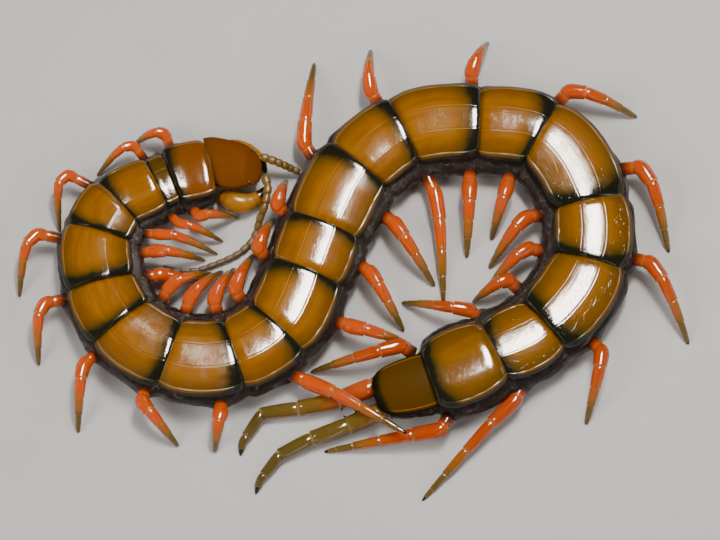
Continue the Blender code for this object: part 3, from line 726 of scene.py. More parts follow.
def arch(slopes, across):
    """Height over the width for slopes in degrees, 1 in the middle; the seams are creases in it."""
    line = np.linspace(0.0, 1.03, 207)
    steep = np.tan(np.radians(np.interp(line, *zip(*slopes)))) / (2 * TRUNK_DEPTH)
    drop = np.concatenate(([0.0], np.cumsum((steep[1:] + steep[:-1]) / 2 * np.diff(line))))
    return 1 - np.interp(np.abs(across), line, drop)


print("the rim's height over the middle's:", round(float(arch(SLOPES, RIM)), 2))

# %% [markdown]
# Rings need more points where the seams and the rim lie, and near the rolled rear edge. The rim is a
# real groove and ridge, so it catches the light.

# %% Places on a plate
RIM_PLACES = (0.875, 0.89, 0.905, 0.92, 0.935, 0.965, 0.985, 1.015, 1.03)
SEAM_PLACES = (SEAM - 0.02, SEAM - 0.006, SEAM, SEAM + 0.006, SEAM + 0.02)
FRONT_PLACES, REAR_PLACES = (-0.05, 0.0, 0.02), (0.965, 0.975, 0.985, 0.993, 0.998, 1.0)


def both_sides(*lines):
    """Places across, from lines of them for one side."""
    line = np.concatenate(lines)
    return np.unique(np.round(np.concatenate((-line, line)), 4))


def ridge(across, middle, width):
    """1 along a line on both sides, fading over its width."""
    return bell(np.abs(across) - middle, width)


ACROSS = both_sides(np.linspace(0, 1.0, 21), SEAM_PLACES, RIM_PLACES)
print("points across a plate:", len(ACROSS))

# %% [markdown]
# No animal holds its plates quite level, and a gloss finish shows a tilt of one degree by where its
# white streak lies. So each plate leans a little by itself, and most turn their rear edge up slightly.
# Tint and wear differ from plate to plate too, and plates 16 to 20 are darkened as painted shade.

# %% How each plate differs
CREASED = (3, 4, 5, 6)  # the plates whose seams are sharp creases
# the values for plates 16 to 20 are painted shade, darker as if less light fell there; the others are the
# plates' own tone
TINT_AND_SHADE = {1: -0.95, 2: 0.75, 3: -0.1, 4: 0.2, 16: 0.15, 17: 0.28, 18: 0.28, 19: 0.33, 20: 0.38, 21: 0.95}
WORN = {**dict.fromkeys((*CREASED, 20), 0.05), 1: 0.15, 7: 0.5, 8: 0.6, 11: 0.2, 12: 0.25, 13: 0.2, 16: 0.6}
PLAIN = (1, 20, PLATES)  # the plates without seams
LEAN = dict(enumerate((  # degrees: front down, left side up, rear edge turned up
    (-2, -3, 9), (1, -3.5, 4), (-3, 0, 9), (-2, -1, 6), (5.5, 1, 0), (5, 0, 0), (1, 0, 2),
    (-1, 3, 1), (-1.5, 0, 0), (-1.5, -2, 2), (1.5, -1, 2), (-2, 2, 4), (3.5, 0, 1), (3, 0, 2),
    (3, 2, 1), (-1.5, 3, 3), (-1, 0.5, 3), (1.5, -2, 2), (0, -3.5, 3), (-4, -3.5, 3), (-4, 0, 0),
), start=1))
print("largest lean in degrees:", max(abs(angle) for lean in LEAN.values() for angle in lean[:2]))

# %% [markdown]
# One ring of a plate runs over its upper side and back along its under side. The rear edge is rolled,
# so the plate looks thick and has no sharp end.

# %% Back plates
PLATE_THICK = 0.5
UNDER_WIDTH = 0.965  # of the upper side's width
SEAM_DEPTH, RIM_HEIGHT, RIM_GROOVE = 0.025, 0.032, 0.028
ROLLED_FROM, TURNED_FROM = 0.97, 0.6  # share where the rear edge starts to round off, and to turn up


def plate_ring(plate, share):
    wide, high = smooth(OUTLINES.get(plate, OUTLINE), share)[0]
    point, _, left = on_route(plate - 1 + share)
    half = PLATE_WIDTH[plate - 1] / 2 * wide
    height = PLATE_WIDTH[plate - 1] * TRUNK_DEPTH * high
    pitch, roll, flare = np.tan(np.radians(LEAN[plate]))
    slopes = PLAIN_SLOPES if plate in PLAIN else CREASED_SLOPES if plate in CREASED else SLOPES
    top = arch(slopes, ACROSS) * height
    turned_up = flare * 0.2 * max((share - TURNED_FROM) / (1 - TURNED_FROM), 0.0) ** 2
    top = top + ((share - 0.5) * pitch + turned_up) * plate_length[plate] + ACROSS * half * roll
    if slopes is SLOPES:
        top = top - SEAM_DEPTH * ridge(ACROSS, SEAM, 0.012)
    spots = [Vector((plate * 3.1, share * 9.0, side)) for side in (0.5, 7.5)]
    uneven = np.where(ACROSS > 0, *(1 + 1.2 * noise.noise(spot) for spot in spots))
    rim, groove = RIM_HEIGHT * ridge(ACROSS, RIM, 0.03), RIM_GROOVE * ridge(ACROSS, RIM - 0.045, 0.02)
    top = top + uneven * (rim - groove)
    past = max(share - ROLLED_FROM, 0.0) / (1 - ROLLED_FROM)
    rolled = 1 - math.sqrt(max(0.0, 1 - past ** 2))
    under = top - PLATE_THICK
    top, under = top - rolled * PLATE_THICK * 0.5, under + rolled * PLATE_THICK * 0.4
    over = row_of_points(point, left, ACROSS * half, BELLY_Z + top)
    return there_and_back(over, row_of_points(point, left, ACROSS * half * UNDER_WIDTH, BELLY_Z + under))


def plate_shell_rings(plate):
    shares = np.concatenate((FRONT_PLACES, np.linspace(0.05, 0.95, 31), REAR_PLACES))
    rings = [plate_ring(plate, share) for share in shares]
    return rings, {"along": column(shares), "across": there_and_back(ACROSS, ACROSS),
                   "tint_and_shade": TINT_AND_SHADE.get(plate, 0.0), "worn": WORN.get(plate, 0.1), "plain": float(plate in PLAIN),
                   "plate": float(plate)}


for number, node in enumerate(TRUNK_NODES):
    plates = [p for p in (2 * number + 1, 2 * number + 2) if p <= PLATES]
    name = "back_plates_" + "_".join(f"{p:02d}" for p in plates)
    shell = satin_shell if PLATES in plates else plate_shell
    creases = np.flatnonzero(np.abs(ACROSS) == SEAM) if plates[0] in CREASED else ()
    dress(add_piece(name, [plate_shell_rings(p) for p in plates], shell, creases), "amber_shell", node)

# %% [markdown]
# ## Belly plates
# Under each segment lies one flat, paler plate with two seams. They are low and narrow, and joined into
# one piece because nothing ever shows them one by one.

# %% Belly plates
BELLY_ACROSS = np.linspace(-1, 1, 25)
BELLY_LINE = ((0.04, 0.80), (0.12, 0.94), (0.5, 1.0), (0.85, 0.97), (0.95, 0.88), (0.985, 0.80))
BELLY_PLACES = np.array((0.04, 0.06, 0.12, 0.25, 0.4, 0.55, 0.7, 0.8, 0.88, 0.93, 0.96, 0.98, 0.985))
BELLY_SHARE = 0.66  # of the back plate's width
BELLY_LOW, BELLY_HIGH = BELLY_Z + 0.12, BELLY_Z + 0.75


def belly_shell_rings(plate):
    rings = []
    for share in BELLY_PLACES:
        point, _, left = on_route(plate - 1 + share)
        out = BELLY_ACROSS * PLATE_WIDTH[plate - 1] / 2 * BELLY_SHARE * smooth(BELLY_LINE, share)[0, 0]
        low = BELLY_LOW + 0.22 * np.abs(BELLY_ACROSS) ** 6 - 0.05 * np.cos(BELLY_ACROSS * math.pi)
        low = low + 0.10 * (share in BELLY_PLACES[[0, -2, -1]])
        rings.append(there_and_back(row_of_points(point, left, out, low),
                                    row_of_points(point, left, out * 0.95, np.full_like(low, BELLY_HIGH))))
    return rings, {"along": column(BELLY_PLACES), "across": there_and_back(BELLY_ACROSS, BELLY_ACROSS)}


belly = [belly_shell_rings(plate) for plate in range(1, PLATES + 1)]
dress(add_piece("belly_plates", belly, belly_shell), "amber_shell")

# %% [markdown]
# ## Head
# The head is a rounded capsule under one flat shield. It turns right at the neck, so its rear edge is cut
# slanting and its front is square. Four simple eyes sit on each side of the front, and the shield
# carries two short seams behind.

# %% Head plan
HEAD_SHIFT = (1.3, 0.6)
SLANT_END = 6.0
HEAD = (  # ahead of the neck, half width, under side, top
    (0.25, 4.30, 3.2, 6.8), (1.3, 4.65, 3.1, 7.1), (3.2, 4.7, 3.0, 7.2), (5.2, 4.45, 3.0, 7.22),
    (6.6, 4.0, 3.05, 7.08), (7.6, 3.55, 3.15, 6.55), (8.5, 2.85, 3.35, 5.95), (9.1, 2.1, 3.6, 5.5),
    (9.5, 1.2, 3.9, 5.1),
)


def head_spot(ahead, out, z):
    """A point of the head's own plan; out is positive to the animal's left."""
    shift = HEAD_SHIFT[0] + (HEAD_SHIFT[1] - HEAD_SHIFT[0]) * ahead / plate_length[0]
    return np.array((*(ROUTE[1] + head_forward * ahead + head_left * (out + shift)), z))


def head_loop(ahead, outs, heights):
    """One ring of the head, slanted at the rear and square at the front."""
    slant = NECK_SLANT * max(0.0, 1 - ahead / SLANT_END)
    return [head_spot(ahead - slant * (out + HEAD_SHIFT[0]), out, z) for out, z in zip(outs, heights)]


print("head length in mm:", round(plate_length[0], 1))

# %% Head capsule and shield
CAPSULE_HALF = ((0.0, 0.0, 0.0), (0.2, 0.40, 0.0), (0.4, 0.66, 0.12), (0.6, 0.84, 0.36), (0.75, 0.92, 0.55),
                (0.85, 0.84, 0.72), (0.93, 0.5, 0.84), (1.0, 0.0, 0.88))
SHIELD_ARCH = ((0.0, 1.0), (0.25, 0.995), (0.62, 0.94), (0.88, 0.82), (0.97, 0.71), (1.0, 0.62))
SHIELD_SEAM, SHIELD_RIM, SEAM_END = 0.30, 0.95, 4.2
SHIELD_ACROSS = both_sides(
    np.linspace(0, 1.0, 19), (0.27, 0.285, 0.30, 0.315, 0.33), (0.90, 0.93, 0.965, 0.985))
SHIELD_PLACES = np.concatenate(([0.12, 0.2, 0.32, 0.5], np.linspace(0.8, 9.0, 34), [9.2, 9.35, 9.45, 9.5]))


def make_capsule():
    rings = []
    for ahead in np.linspace(0.25, 9.3, 26):
        half, bottom, top = smooth(HEAD, ahead)[0]
        section = smooth(CAPSULE_HALF, np.linspace(0, 1, 18))
        out, up = section[:, 0] * half * 0.97, bottom + section[:, 1] * (top - bottom)
        rings.append(head_loop(ahead, there_and_back(out, -out), there_and_back(up, up)))
    return add_piece("head_capsule", [(rings, {"along": 0.3, "ring": 0.0})], jaw_shell)


def make_shield():
    rings = []
    for ahead in SHIELD_PLACES:
        half, bottom, top = smooth(HEAD, ahead)[0]
        end = max((ahead - 9.1) / 0.4, (0.5 - ahead) / 0.38, 0.0)
        rolled = 1 - math.sqrt(max(0.0, 1 - min(end, 1.0) ** 2))
        high = bottom + smooth(SHIELD_ARCH, np.abs(SHIELD_ACROSS))[:, 0] * (top - bottom)
        seam = 0.07 * max(0.0, min(1.0, (SEAM_END - ahead) / 1.5))
        high = high - seam * ridge(SHIELD_ACROSS, SHIELD_SEAM, 0.014)
        high = high + 0.05 * ridge(SHIELD_ACROSS, SHIELD_RIM, 0.03)
        low = high - PLATE_THICK
        high, low = high - rolled * 0.25, low + rolled * 0.2
        outs = SHIELD_ACROSS * half
        rings.append(head_loop(ahead, there_and_back(outs, outs * 0.96), there_and_back(high, low)))
    along = 0.75 - SHIELD_PLACES / SHIELD_PLACES[-1] * 0.75
    numbers = {"along": column(along), "across": there_and_back(SHIELD_ACROSS, SHIELD_ACROSS) * 0.9,
               "tint_and_shade": -1.0, "worn": 0.4, "plain": 1.0, "plate": 0.0}
    return add_piece("head_shield", [(rings, numbers)], satin_shell)


dress(make_capsule(), "chestnut_shell", "head")
dress(make_shield(), "chestnut_shell", "head")

# %% [markdown]
# A simple eye is one glassy dome. A loft of shrinking rings along the dome's axis makes it, half sunk
# in the capsule under the shield's edge.

# %% Simple eyes
def dome(centre, axis, radius, depth, around=16, rows=9):
    """Rings of a flattened ball: radius across, depth along its axis."""
    axis = unit(axis)
    side = unit(np.cross(axis, (0.0, 0.13, 1.0)))
    rim = circle(side, np.cross(axis, side), around)
    tilts = np.linspace(-math.pi / 2 * 0.97, math.pi / 2 * 0.97, rows)
    return [centre + axis * depth * math.sin(t) + rim * radius * math.cos(t) for t in tilts]


OCELLI = ((6.3, 3.70, 6.00), (7.1, 3.40, 5.85), (7.6, 3.05, 6.00), (8.0, 2.95, 5.40))  # ahead, out, height
OCELLUS = (0.30, 0.22)  # radius, depth
eyes = []
for sign in (1, -1):
    for ahead, out, z in OCELLI:
        spot = head_spot(ahead, sign * out, z)
        eyes.append((dome(spot, spot - head_spot(ahead - 1.0, sign * (out - 2.0), z - 0.8), *OCELLUS), {}))
dress(add_piece("ocelli", eyes, eye_lens), "chestnut_shell", "head")

# %% [markdown]
# ## Jointed tubes
# Legs, feelers and jaws are all chains of joints. `bent_line` walks along a line and rounds its corners
# a little, and `tube` puts rings on it. `jointed` turns a list of joints into a radius at every place:
# narrow where a joint starts, full at its middle, a lip at its end, and a pinch before the next.

# %% Bent lines
def measured(points):
    """How far each point lies along the line through them."""
    return np.concatenate(([0.0], np.cumsum(np.linalg.norm(np.diff(points, axis=0), axis=1))))


def read(places, known, line):
    """A line's coordinates at places between those that are known."""
    return np.column_stack([np.interp(places, known, part) for part in line.T])


def bent_line(points, at, ease=0.5):
    """Points and directions at shares of a line through the points, corners eased over a length."""
    points = np.asarray(points, float)
    lengths = measured(points)
    count = max(int(lengths[-1] / 0.05), 20)
    even = np.linspace(0, lengths[-1], count)
    line = read(even, lengths, points)
    reach = max(int(ease / lengths[-1] * count), 1)
    kernel = np.hanning(2 * reach + 3)[1:-1]
    kernel /= kernel.sum()
    steps = column(np.arange(reach, 0, -1))
    before = line[0] - (line[1] - line[0]) * steps
    after = line[-1] + (line[-1] - line[-2]) * steps[::-1]
    line = np.concatenate((before, line, after))
    line = np.column_stack([np.convolve(part, kernel, mode="valid") for part in line.T])
    at = np.asarray(at, float) * lengths[-1]
    way = read(at, even, np.gradient(line, axis=0))
    return read(at, even, line), way / column(np.linalg.norm(way, axis=1))


def between(points, marks, places, ease=0.5):
    """The same, at places that are counted by a mark on each of the points."""
    lengths = measured(points)
    return bent_line(points, np.interp(places, marks, lengths) / lengths[-1], ease)


print("a corner with sides of 3 and 4 measures:", measured(np.array(((0, 0, 0), (3, 0, 0), (3, 4, 0))))[-1])

# %% Tubes and their joints
def tube(spine, radii, around=20):
    """Rings on a line, given by its points and directions."""
    places, ways = spine
    side = np.cross(ways, (0.0, 0.0, 1.0))
    side /= column(np.linalg.norm(side, axis=1))
    rings = circle(side[:, None, :], np.cross(side, ways)[:, None, :], around)
    return places[:, None, :] + rings * np.asarray(radii, float)[:, None, None]


def crest(around=20):
    """1 along a tube's upper side, -1 along its lower side."""
    return circle(0.0, 1.0, around)[:, 0]


JOINT_STOPS = ((0.0, 0.82), (0.04, 0.90), (0.12, 0.965), (0.30, 1.005), (0.55, 1.015), (0.80, 1.0),
               (0.93, 0.995), (0.975, 1.02), (1.0, 0.93))
JOINT_PLACES = (0.0, 0.015, 0.04, 0.08, 0.15, 0.25, 0.37, 0.5, 0.63, 0.75, 0.85, 0.92, 0.955, 0.98, 1.0)


def jointed(root, joints):
    """Places, radii and ring marks of a root and of joints, each a start, an end and its radius at both."""
    rows = list(root)
    for start, end, thick, thin in joints:
        for share in JOINT_PLACES:
            radius = (thick + (thin - thick) * share) * smooth(JOINT_STOPS, share)[0, 0]
            ring = max(0.0, 1 - share / 0.05, 1 - (1 - share) / 0.04)
            rows.append((start + (end - start) * share, radius, ring))
    return np.array(rows).T


def horn(line, marks, stops, ease=0.5, around=12, scale=1.0, start=0.0):
    """A claw on a line, from stops of a place and a radius."""
    places, radii = np.transpose(stops)
    numbers = {"along": column(np.linspace(start, 1, len(stops)))}
    return tube(between(line, marks, places, ease), radii * scale, around), numbers


print("tube helpers ready;", len(JOINT_PLACES), "rings a joint")

# %% [markdown]
# ## Walking legs
# A leg has a short root in the flank, then five joints: the thick first one, the second and third, which
# bend down, and a foot of two thin joints with a black claw. Each leg's line is found as in the solids:
# its root and foot are given in plan, and the knee is lifted until the leg has its real length.

# %% Leg plan
LEFT_FEET = (
    (-42.0, 26.5, 1.0), (-48.5, 20.5, 1.5), (-55.0, 9.5, 4.0), (-62.0, -3.0, 3.2), (-58.0, -16.0, 2.2),
    (-50.5, -28.5, 0.6), (-32.5, -31.0, 0.5), (-26.0, -32.0, 0.0), (8.3, -30.2, -1.2), (9.5, -12.2, 0.5),
    (8.0, -9.5, 0.5), (13.6, -1.0, 0.5), (15.2, -4.2, -1.0), (19.5, 4.5, 0.0), (24.0, 8.0, 0.0),
    (23.5, 2.5, 0.5), (23.0, -1.5, 0.5), (20.5, -4.0, 0.5), (7.5, -4.0, -1.0), (-9.0, -17.2, -0.8),
)
RIGHT_FEET = (
    (-22.5, 12.2, 0.0), (-25.0, 7.6, 0.0), (-26.0, 5.2, 1.0), (-28.2, 4.0, 0.0), (-28.8, 0.2, 0.0),
    (-27.0, 1.5, 1.0), (-25.0, 2.0, 0.5), (-22.8, 2.5, 0.5), (-19.4, 5.2, 0.3), (-16.1, 12.0, 0.0),
    (-13.5, 19.5, 0.0), (-8.5, 43.0, 0.5), (2.0, 45.5, 1.0), (24.0, 47.0, 0.5), (51.5, 32.0, 1.0),
    (56.5, 5.5, 2.2), (59.5, -12.0, 1.0), (40.5, -27.0, 0.5), (11.0, -41.0, -1.0), (-6.5, -32.0, 0.0),
)
CAD_SHAPE = ((0.0, 0.93), (0.2, 0.985), (0.6, 1.0), (0.9, 0.99), (1.0, 0.95))
CAD_BARREL = ((0.0, 0.84), (0.2, 0.955), (0.5, 1.0), (0.8, 0.94), (1.0, 0.77))
LEG_PLACES = (0.04, 0.10, 0.18, 0.29, 0.32, 0.40, 0.54, 0.57, 0.64, 0.75, 0.78, 0.91, 1.0)
LEG_LENGTH = (18.0, 24.0)  # first and last pair
FOOT_Z = 0.05
RAISED_FOOT = {(1, 9): 6.0}  # the foot of the ninth left leg lies on the tail legs
LOW_KNEE = {(-1, 5)}  # the fifth right leg keeps the least rise and passes under the sixth


print("legs:", len(LEFT_FEET) + len(RIGHT_FEET))

# %% [markdown]
# The hip lies on the flank's outside, wherever that is at the leg's place on the route. From there the
# line goes to the foot in a bow. How high it rises is found by halving a range: while the leg comes out
# too short, the rise goes up.

# %% Leg lines
def flank_reach(station, sign):
    """Where the flank's outside lies from the middle of the back, over the width of a leg's root."""
    point, _, left = on_route(station)
    reach = 0.0
    for shift in (-1.8, -0.9, 0.0, 0.9, 1.8):
        near = min(max(station + shift / plate_length[int(station) + 1], 0.0), PLATES - 0.01)
        spot, _, near_left = on_route(near)
        shape = CAD_BARREL if int(near) + 1 in (19, 20) else CAD_SHAPE
        half = PLATE_WIDTH[int(near)] / 2 * np.interp(near % 1, *zip(*shape))
        reach = max(reach, (spot + near_left * sign * half * flank_share(near, sign) - point) @ (left * sign))
    return point, left * sign, reach


def leg_points(sign, pair, station, foot_x, foot_y, bow):
    """The leg's points in plan and height, and its scale against the widest plate."""
    width = PLATE_WIDTH[pair - 1]
    root_z = BELLY_Z + 0.23 * width * TRUNK_DEPTH
    point, outward, reach = flank_reach(station, sign)
    base, hip = point + outward * (reach + 0.3), point + outward * (reach + 1.0)
    foot_z = RAISED_FOOT.get((sign, pair), FOOT_Z)
    run = np.array((foot_x, foot_y)) - hip
    across = unit(np.array((run[1], -run[0]))) * sign
    goal = LEG_LENGTH[0] + (LEG_LENGTH[1] - LEG_LENGTH[0]) * (pair - 1) / (PLATES - 2)

    def line(rise):
        made = [(*base, root_z), (*hip, root_z)]
        for t in LEG_PLACES:
            spot = hip + run * t + across * bow * math.sin(math.pi * math.sqrt(t))
            made.append((*spot, root_z * (1 - t) + foot_z * t + rise * math.sin(math.pi * t**0.7)))
        return np.array(made)

    low, high = 0.6, 3.0
    for _ in range(0 if (sign, pair) in LOW_KNEE else 30):
        middle = (low + high) / 2
        if np.linalg.norm(np.diff(line(middle), axis=0), axis=1).sum() < goal:
            low = middle
        else:
            high = middle
    return line(low), width / max(PLATE_WIDTH)


print("points on a leg's line:", len(LEG_PLACES) + 2)

# %% Walking legs and their claws
LEG_ROOT = ((-0.14, 1.30, 0.0), (-0.08, 1.30, 0.0), (-0.03, 1.28, 0.0), (0.0, 1.26, 0.0), (0.018, 1.24, 0.2),
            (0.03, 1.16, 0.5))  # share of the leg from its hip, radius, ring
LEG_JOINTS = (  # start and end as shares of the leg from its hip, radius at both
    (0.035, 0.31, 1.52, 1.36), (0.31, 0.56, 1.22, 1.04), (0.56, 0.77, 0.98, 0.80), (0.77, 0.90, 0.68, 0.58),
    (0.90, 0.965, 0.54, 0.42),
)
LEG_BENDS = (0.10, 0.32, 0.57, 0.78, 0.91, 1.0)
ROOT_DEPTH = 1.5
CLAW = ((0.945, 0.36), (0.96, 0.40), (0.97, 0.36), (0.98, 0.29), (0.99, 0.20), (0.997, 0.10), (1.0, 0.04))


def walking_leg(sign, pair, station, foot):
    points, scale = leg_points(sign, pair, station, *foot)
    spine = points[[0] + [2 + LEG_PLACES.index(t) for t in LEG_BENDS]]
    spine[0] = points[0] - unit(points[1] - points[0]) * ROOT_DEPTH
    marks = (LEG_ROOT[0][0], *LEG_BENDS)
    places, radii, rings = jointed(LEG_ROOT, LEG_JOINTS)
    # painted shade: the rearmost legs are darkened near the body, as if less light fell there
    rear_leg_shade = min(max((pair - 13) / 6, 0.0), 1.0)
    shell = (tube(between(spine, marks, places, 1.0), radii * scale),
             {"along": column(places), "ring": column(rings), "crest": crest(), "tint_and_shade": rear_leg_shade})
    return shell, horn(spine, marks, CLAW, 1.0, scale=scale)


for side, sign, roots, feet in (("left", 1, LEFT_ROOTS, LEFT_FEET), ("right", -1, RIGHT_ROOTS, RIGHT_FEET)):
    made = [walking_leg(sign, pair, *plan) for pair, plan in enumerate(zip(roots, feet), start=1)]
    nodes = [f"leg_{side}_{pair:02d}" for pair in range(1, PLATES)]
    dress(add_piece(f"walking_legs_{side}", [shell for shell, _ in made], leg_shell), "orange_leg", *nodes)
    dress(add_piece(f"leg_claws_{side}", [claw for _, claw in made], claw_horn), "orange_leg")

# %% [markdown]
# ## Tail legs
# The last pair doesn't walk. It trails behind, stout and olive, and its first joint carries short black
# spines on its inner side.

# %% Tail legs
TAIL_MARKS = (0, 1, 3, 5, 7, 9, 10)
TAIL_LEGS = {
    "left": ((3.4, -20.2, 3.0), (2.2, -20.7, 2.9), (-3.9, -22.9, 2.0), (-11.1, -24.4, 1.7),
             (-17.6, -25.2, 1.2), (-21.0, -30.3, 0.6), (-21.4, -32.8, 0.2)),
    "right": ((4.3, -24.8, 3.0), (3.2, -25.4, 2.9), (-2.0, -27.6, 2.0), (-8.6, -30.0, 1.7),
              (-14.3, -32.8, 1.2), (-17.8, -37.3, 0.6), (-18.6, -39.8, 0.2)),
}
TAIL_ROOT = ((0.0, 1.7, 0.0), (0.5, 1.75, 0.3), (0.9, 1.55, 0.8))  # mark, radius, ring
TAIL_JOINTS = ((1, 3, 1.85, 1.66), (3, 5, 1.62, 1.48), (5, 7, 1.42, 1.22), (7, 8.6, 1.10, 0.98),
               (8.6, 9.5, 0.88, 0.66))
TAIL_CLAW = ((9.3, 0.52), (9.5, 0.55), (9.65, 0.46), (9.8, 0.33), (9.92, 0.17), (10.0, 0.05))
TAIL_SPINES = ((0.22, -0.9), (0.37, -0.4), (0.5, 0.6), (0.85, 0.0), (0.6, -0.8))  # share of the joint, rise
SPINE = ((0.0, 1.0), (0.35, 0.75), (0.7, 0.4), (0.92, 0.14), (1.0, 0.04))  # shares of length and radius
TAIL_AROUND = 26


def tail_leg(side):
    line = np.array(TAIL_LEGS[side])
    places, radii, rings = jointed(TAIL_ROOT, TAIL_JOINTS)
    shell = (tube(between(line, TAIL_MARKS, places, 0.8), radii, TAIL_AROUND),
             {"along": column(places / 10), "ring": column(rings), "crest": crest(TAIL_AROUND)})
    return shell, horn(line, TAIL_MARKS, TAIL_CLAW), line


def spine_rings(root, tip, radius):
    """A small cone with a rounded tip, for spines and teeth."""
    shares, radii = np.transpose(SPINE)
    spine = (root + (tip - root) * column(shares), np.tile(unit(tip - root), (len(SPINE), 1)))
    return tube(spine, radii * radius, 10), {"along": column(np.linspace(0, 1, len(SPINE)))}


horns = []
for side, sign, material in (("left", 1, tail_shell_left), ("right", -1, tail_shell)):
    shell, claw, line = tail_leg(side)
    dress(add_piece(f"tail_leg_shell_{side}", [shell], material), "olive_leg", f"tail_leg_{side}")
    horns.append(claw)
    way = unit(line[2] - line[1])
    inward = np.array((-way[1], way[0], 0.0)) * sign
    for share, rise in TAIL_SPINES:
        middle = line[1] + (line[2] - line[1]) * share
        aim = unit(inward + np.array((0, 0, rise)) + way * 0.5)
        horns.append(spine_rings(middle + aim * 1.3, middle + aim * 2.45, 0.30))
dress(add_piece("tail_leg_horns", horns, claw_horn), "olive_leg")

# %% [markdown]
# ## Feelers
# A feeler is a chain of eighteen beads. They get smaller towards the tip, and slimmer for their length.
# Each bead has a narrow dark neck, so the chain reads as joints even from far off.

# %% Feelers
FEELERS = {
    "left": ((-17.4, 22.3, 4.8), (-15.7, 21.8, 4.6), (-14.1, 21.4, 3.6), (-12.5, 21.1, 2.2),
             (-10.7, 20.7, 1.1), (-8.1, 19.8, 0.8), (-5.2, 19.8, 0.8), (-1.8, 21.8, 0.8), (1.5, 25.0, 0.7)),
    "right": ((-17.2, 18.2, 4.8), (-16.8, 16.8, 4.9), (-17.0, 14.8, 4.7), (-17.4, 13.0, 4.3),
              (-18.3, 11.2, 2.8), (-18.9, 9.2, 1.2), (-19.9, 7.3, 0.8), (-21.9, 5.3, 0.8), (-24.1, 4.1, 0.8),
              (-26.4, 3.1, 0.8), (-29.5, 2.0, 0.7), (-33.2, 1.9, 0.7), (-35.9, 2.6, 0.7)),
}
BEADS, FEELER_RADII = 18, (0.80, 0.40)
BEAD = (  # share of the bead's length, of its radius, ring
    (0.0, 0.72, 1.0), (0.12, 0.88, 0.3), (0.35, 0.98, 0.0), (0.65, 1.04, 0.0), (0.88, 1.0, 0.1),
    (0.97, 0.84, 0.8),
)


def feeler(side):
    ends = np.linspace(0, 1, BEADS + 1) ** 0.96
    rows = []
    for k in range(BEADS):
        size = FEELER_RADII[0] + (FEELER_RADII[1] - FEELER_RADII[0]) * k / (BEADS - 1)
        for share, swell, ring in BEAD:
            rows.append((ends[k] + (ends[k + 1] - ends[k]) * share, size * swell, ring))
    places, radii, rings = np.array(rows + [(1.0, 0.12, 0.0)]).T
    line = np.array(FEELERS[side], float)
    line[0] = line[0] - unit(line[1] - line[0]) * 0.8
    return tube(bent_line(line, places, 0.9), radii, 16), {"along": column(places), "ring": column(rings)}


for side in ("left", "right"):
    dress(add_piece(f"feeler_{side}", [feeler(side)], feeler_shell), "olive_feeler", f"antenna_{side}")

# %% [markdown]
# ## Jaws
# A centipede's fangs are its changed first legs. Each is a short base, a long full joint, two narrow
# rings and a curved black claw. Between them, under the head, lies their common plate with two rows of
# dark teeth.

# %% Jaws
JAWS = {  # ahead of the neck, out, height, radius
    "right": ((2.75, 4.7, 2.1, 1.05), (3.5, 5.4, 2.4, 1.7), (5.0, 6.1, 2.6, 1.85), (6.9, 6.0, 2.5, 1.7),
              (8.4, 5.2, 2.4, 1.4), (9.6, 3.9, 2.3, 1.1), (10.6, 2.4, 2.3, 0.75), (11.2, 0.9, 2.3, 0.3)),
    "left": ((1.2, 3.9, 2.1, 1.0), (2.1, 4.3, 2.2, 1.4), (4.4, 4.45, 2.3, 1.6), (6.4, 4.2, 2.2, 1.45),
             (7.8, 3.65, 2.1, 1.25), (8.9, 2.8, 2.0, 1.0), (9.7, 1.7, 2.0, 0.7), (10.2, 0.5, 2.0, 0.3)),
}
JAW_SHAPE = (  # place in stops, share of the stops' radius, ring
    (0.0, 1.05, 0.0), (0.4, 1.04, 0.0), (0.8, 1.05, 0.0), (1.1, 1.02, 0.3), (1.2, 0.98, 0.8),
    (1.3, 1.01, 0.3), (1.6, 1.05, 0.0), (2.0, 1.06, 0.0), (2.5, 1.06, 0.0), (3.0, 1.05, 0.0),
    (3.4, 1.04, 0.0), (3.5, 1.025, 0.5), (3.6, 1.04, 0.0), (3.9, 1.04, 0.0), (4.05, 1.03, 0.4),
    (4.2, 1.03, 0.0), (4.45, 1.01, 0.0), (4.65, 0.98, 0.3), (4.75, 0.94, 0.8),
)
JAW_CLAW = ((4.6, 1.06), (4.8, 1.10), (5.1, 0.98), (5.5, 0.84), (5.9, 0.70), (6.3, 0.52), (6.7, 0.30),
            (6.9, 0.15), (7.0, 0.05))


def jaw(side, sign):
    line = np.array([head_spot(ahead, sign * out, z) for ahead, out, z, _ in JAWS[side]])
    stops = range(len(line))
    places, swell, rings = np.transpose(JAW_SHAPE)
    radii = np.interp(places, stops, [radius for *_, radius in JAWS[side]]) * swell
    spine = between(line, stops, places, 1.2)
    shell = (tube(spine, radii, 24), {"along": column(places / 5), "ring": column(rings)})
    return shell, horn(line, stops, JAW_CLAW, 1.0, 18, start=0.1)


for side, sign in (("left", 1), ("right", -1)):
    shell, claw = jaw(side, sign)
    dress(add_piece(f"jaw_shell_{side}", [shell], jaw_shell), "amber_jaw", f"jaw_{side}")
    dress(add_piece(f"jaw_claw_{side}", [claw], claw_horn), "amber_jaw")

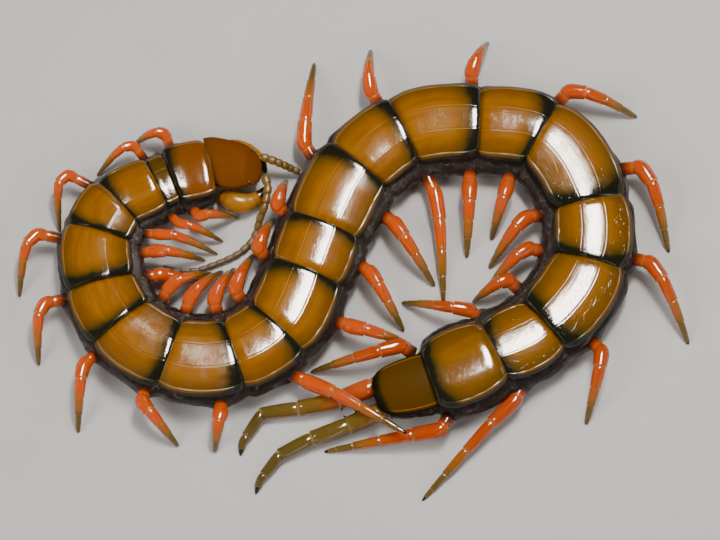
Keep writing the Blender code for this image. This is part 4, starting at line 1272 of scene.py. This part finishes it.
# %% Jaw plate, its teeth, and the mouthparts
def low_loft(stops, rows=18, half_count=16):
    """A loft in the head's plan from stops of ahead, half width, under side and top."""
    rings = []
    turns = np.linspace(0, math.pi, half_count)
    for ahead in np.linspace(stops[0][0], stops[-1][0], rows):
        half, bottom, top = smooth(stops, ahead)[0]
        out = np.sin(turns) ** 0.7 * half
        up = (bottom + top) / 2 - np.cos(turns) * (top - bottom) / 2
        rings.append(head_loop(ahead, there_and_back(out, -out), there_and_back(up, up)))
    return rings


JAW_PLATE_STOPS = ((0.35, 2.7, 1.25, 2.55), (1.5, 2.95, 1.1, 2.65), (2.7, 2.75, 1.2, 2.6),
                   (3.7, 2.0, 1.4, 2.4))
LIP_STOPS = ((5.0, 1.3, 1.7, 2.65), (6.2, 1.7, 1.5, 2.7), (7.4, 1.2, 1.6, 2.7))
PALP = ((6.0, 0.6, 2.1), (6.8, 1.5, 1.9), (7.5, 2.0, 1.7), (8.0, 1.6, 1.5))
PALP_RADII = ((0.0, 0.45), (0.4, 0.5), (0.75, 0.42), (0.95, 0.3), (1.0, 0.1))
teeth = []
for sign in (1, -1):
    for k in range(4):
        out = sign * (0.35 + 0.38 * k)
        root, tip = head_spot(3.5, out, 1.8), head_spot(4.15 - 0.05 * k, out * 1.02, 1.7)
        teeth.append(spine_rings(root, tip, 0.22))
mouth = [(low_loft(LIP_STOPS), {"along": 0.4, "ring": 0.0})]
for sign in (1, -1):
    shares = np.linspace(0, 1, 12)
    spine = bent_line([head_spot(ahead, sign * out, z) for ahead, out, z in PALP], shares)
    mouth.append((tube(spine, np.interp(shares, *zip(*PALP_RADII)), 14), {"along": 0.7, "ring": 0.0}))
jaw_plate = (low_loft(JAW_PLATE_STOPS), {"along": 0.5, "ring": 0.0})
dress(add_piece("jaw_plate_shell", [jaw_plate], jaw_shell), "amber_jaw", "jaw_plate")
dress(add_piece("jaw_teeth", teeth, claw_horn), "amber_jaw")
dress(add_piece("mouth_lips", mouth, jaw_shell), "amber_jaw", "mouthparts")

# %% [markdown]
# ## Sizes and the last check
# The dressed model is meant to fill the same box as the solids. Both boxes are written out and compared.

# %% Sizes and finish
dressed_low, dressed_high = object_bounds()
print("dressed size in mm:", [round(x / MM, 1) for x in dressed_high - dressed_low])
for label, solid, dressed in (("low", solid_low, dressed_low), ("high", solid_high, dressed_high)):
    print(label, "corner moved by mm:", [round((b - a) / MM, 2) for a, b in zip(solid, dressed)])
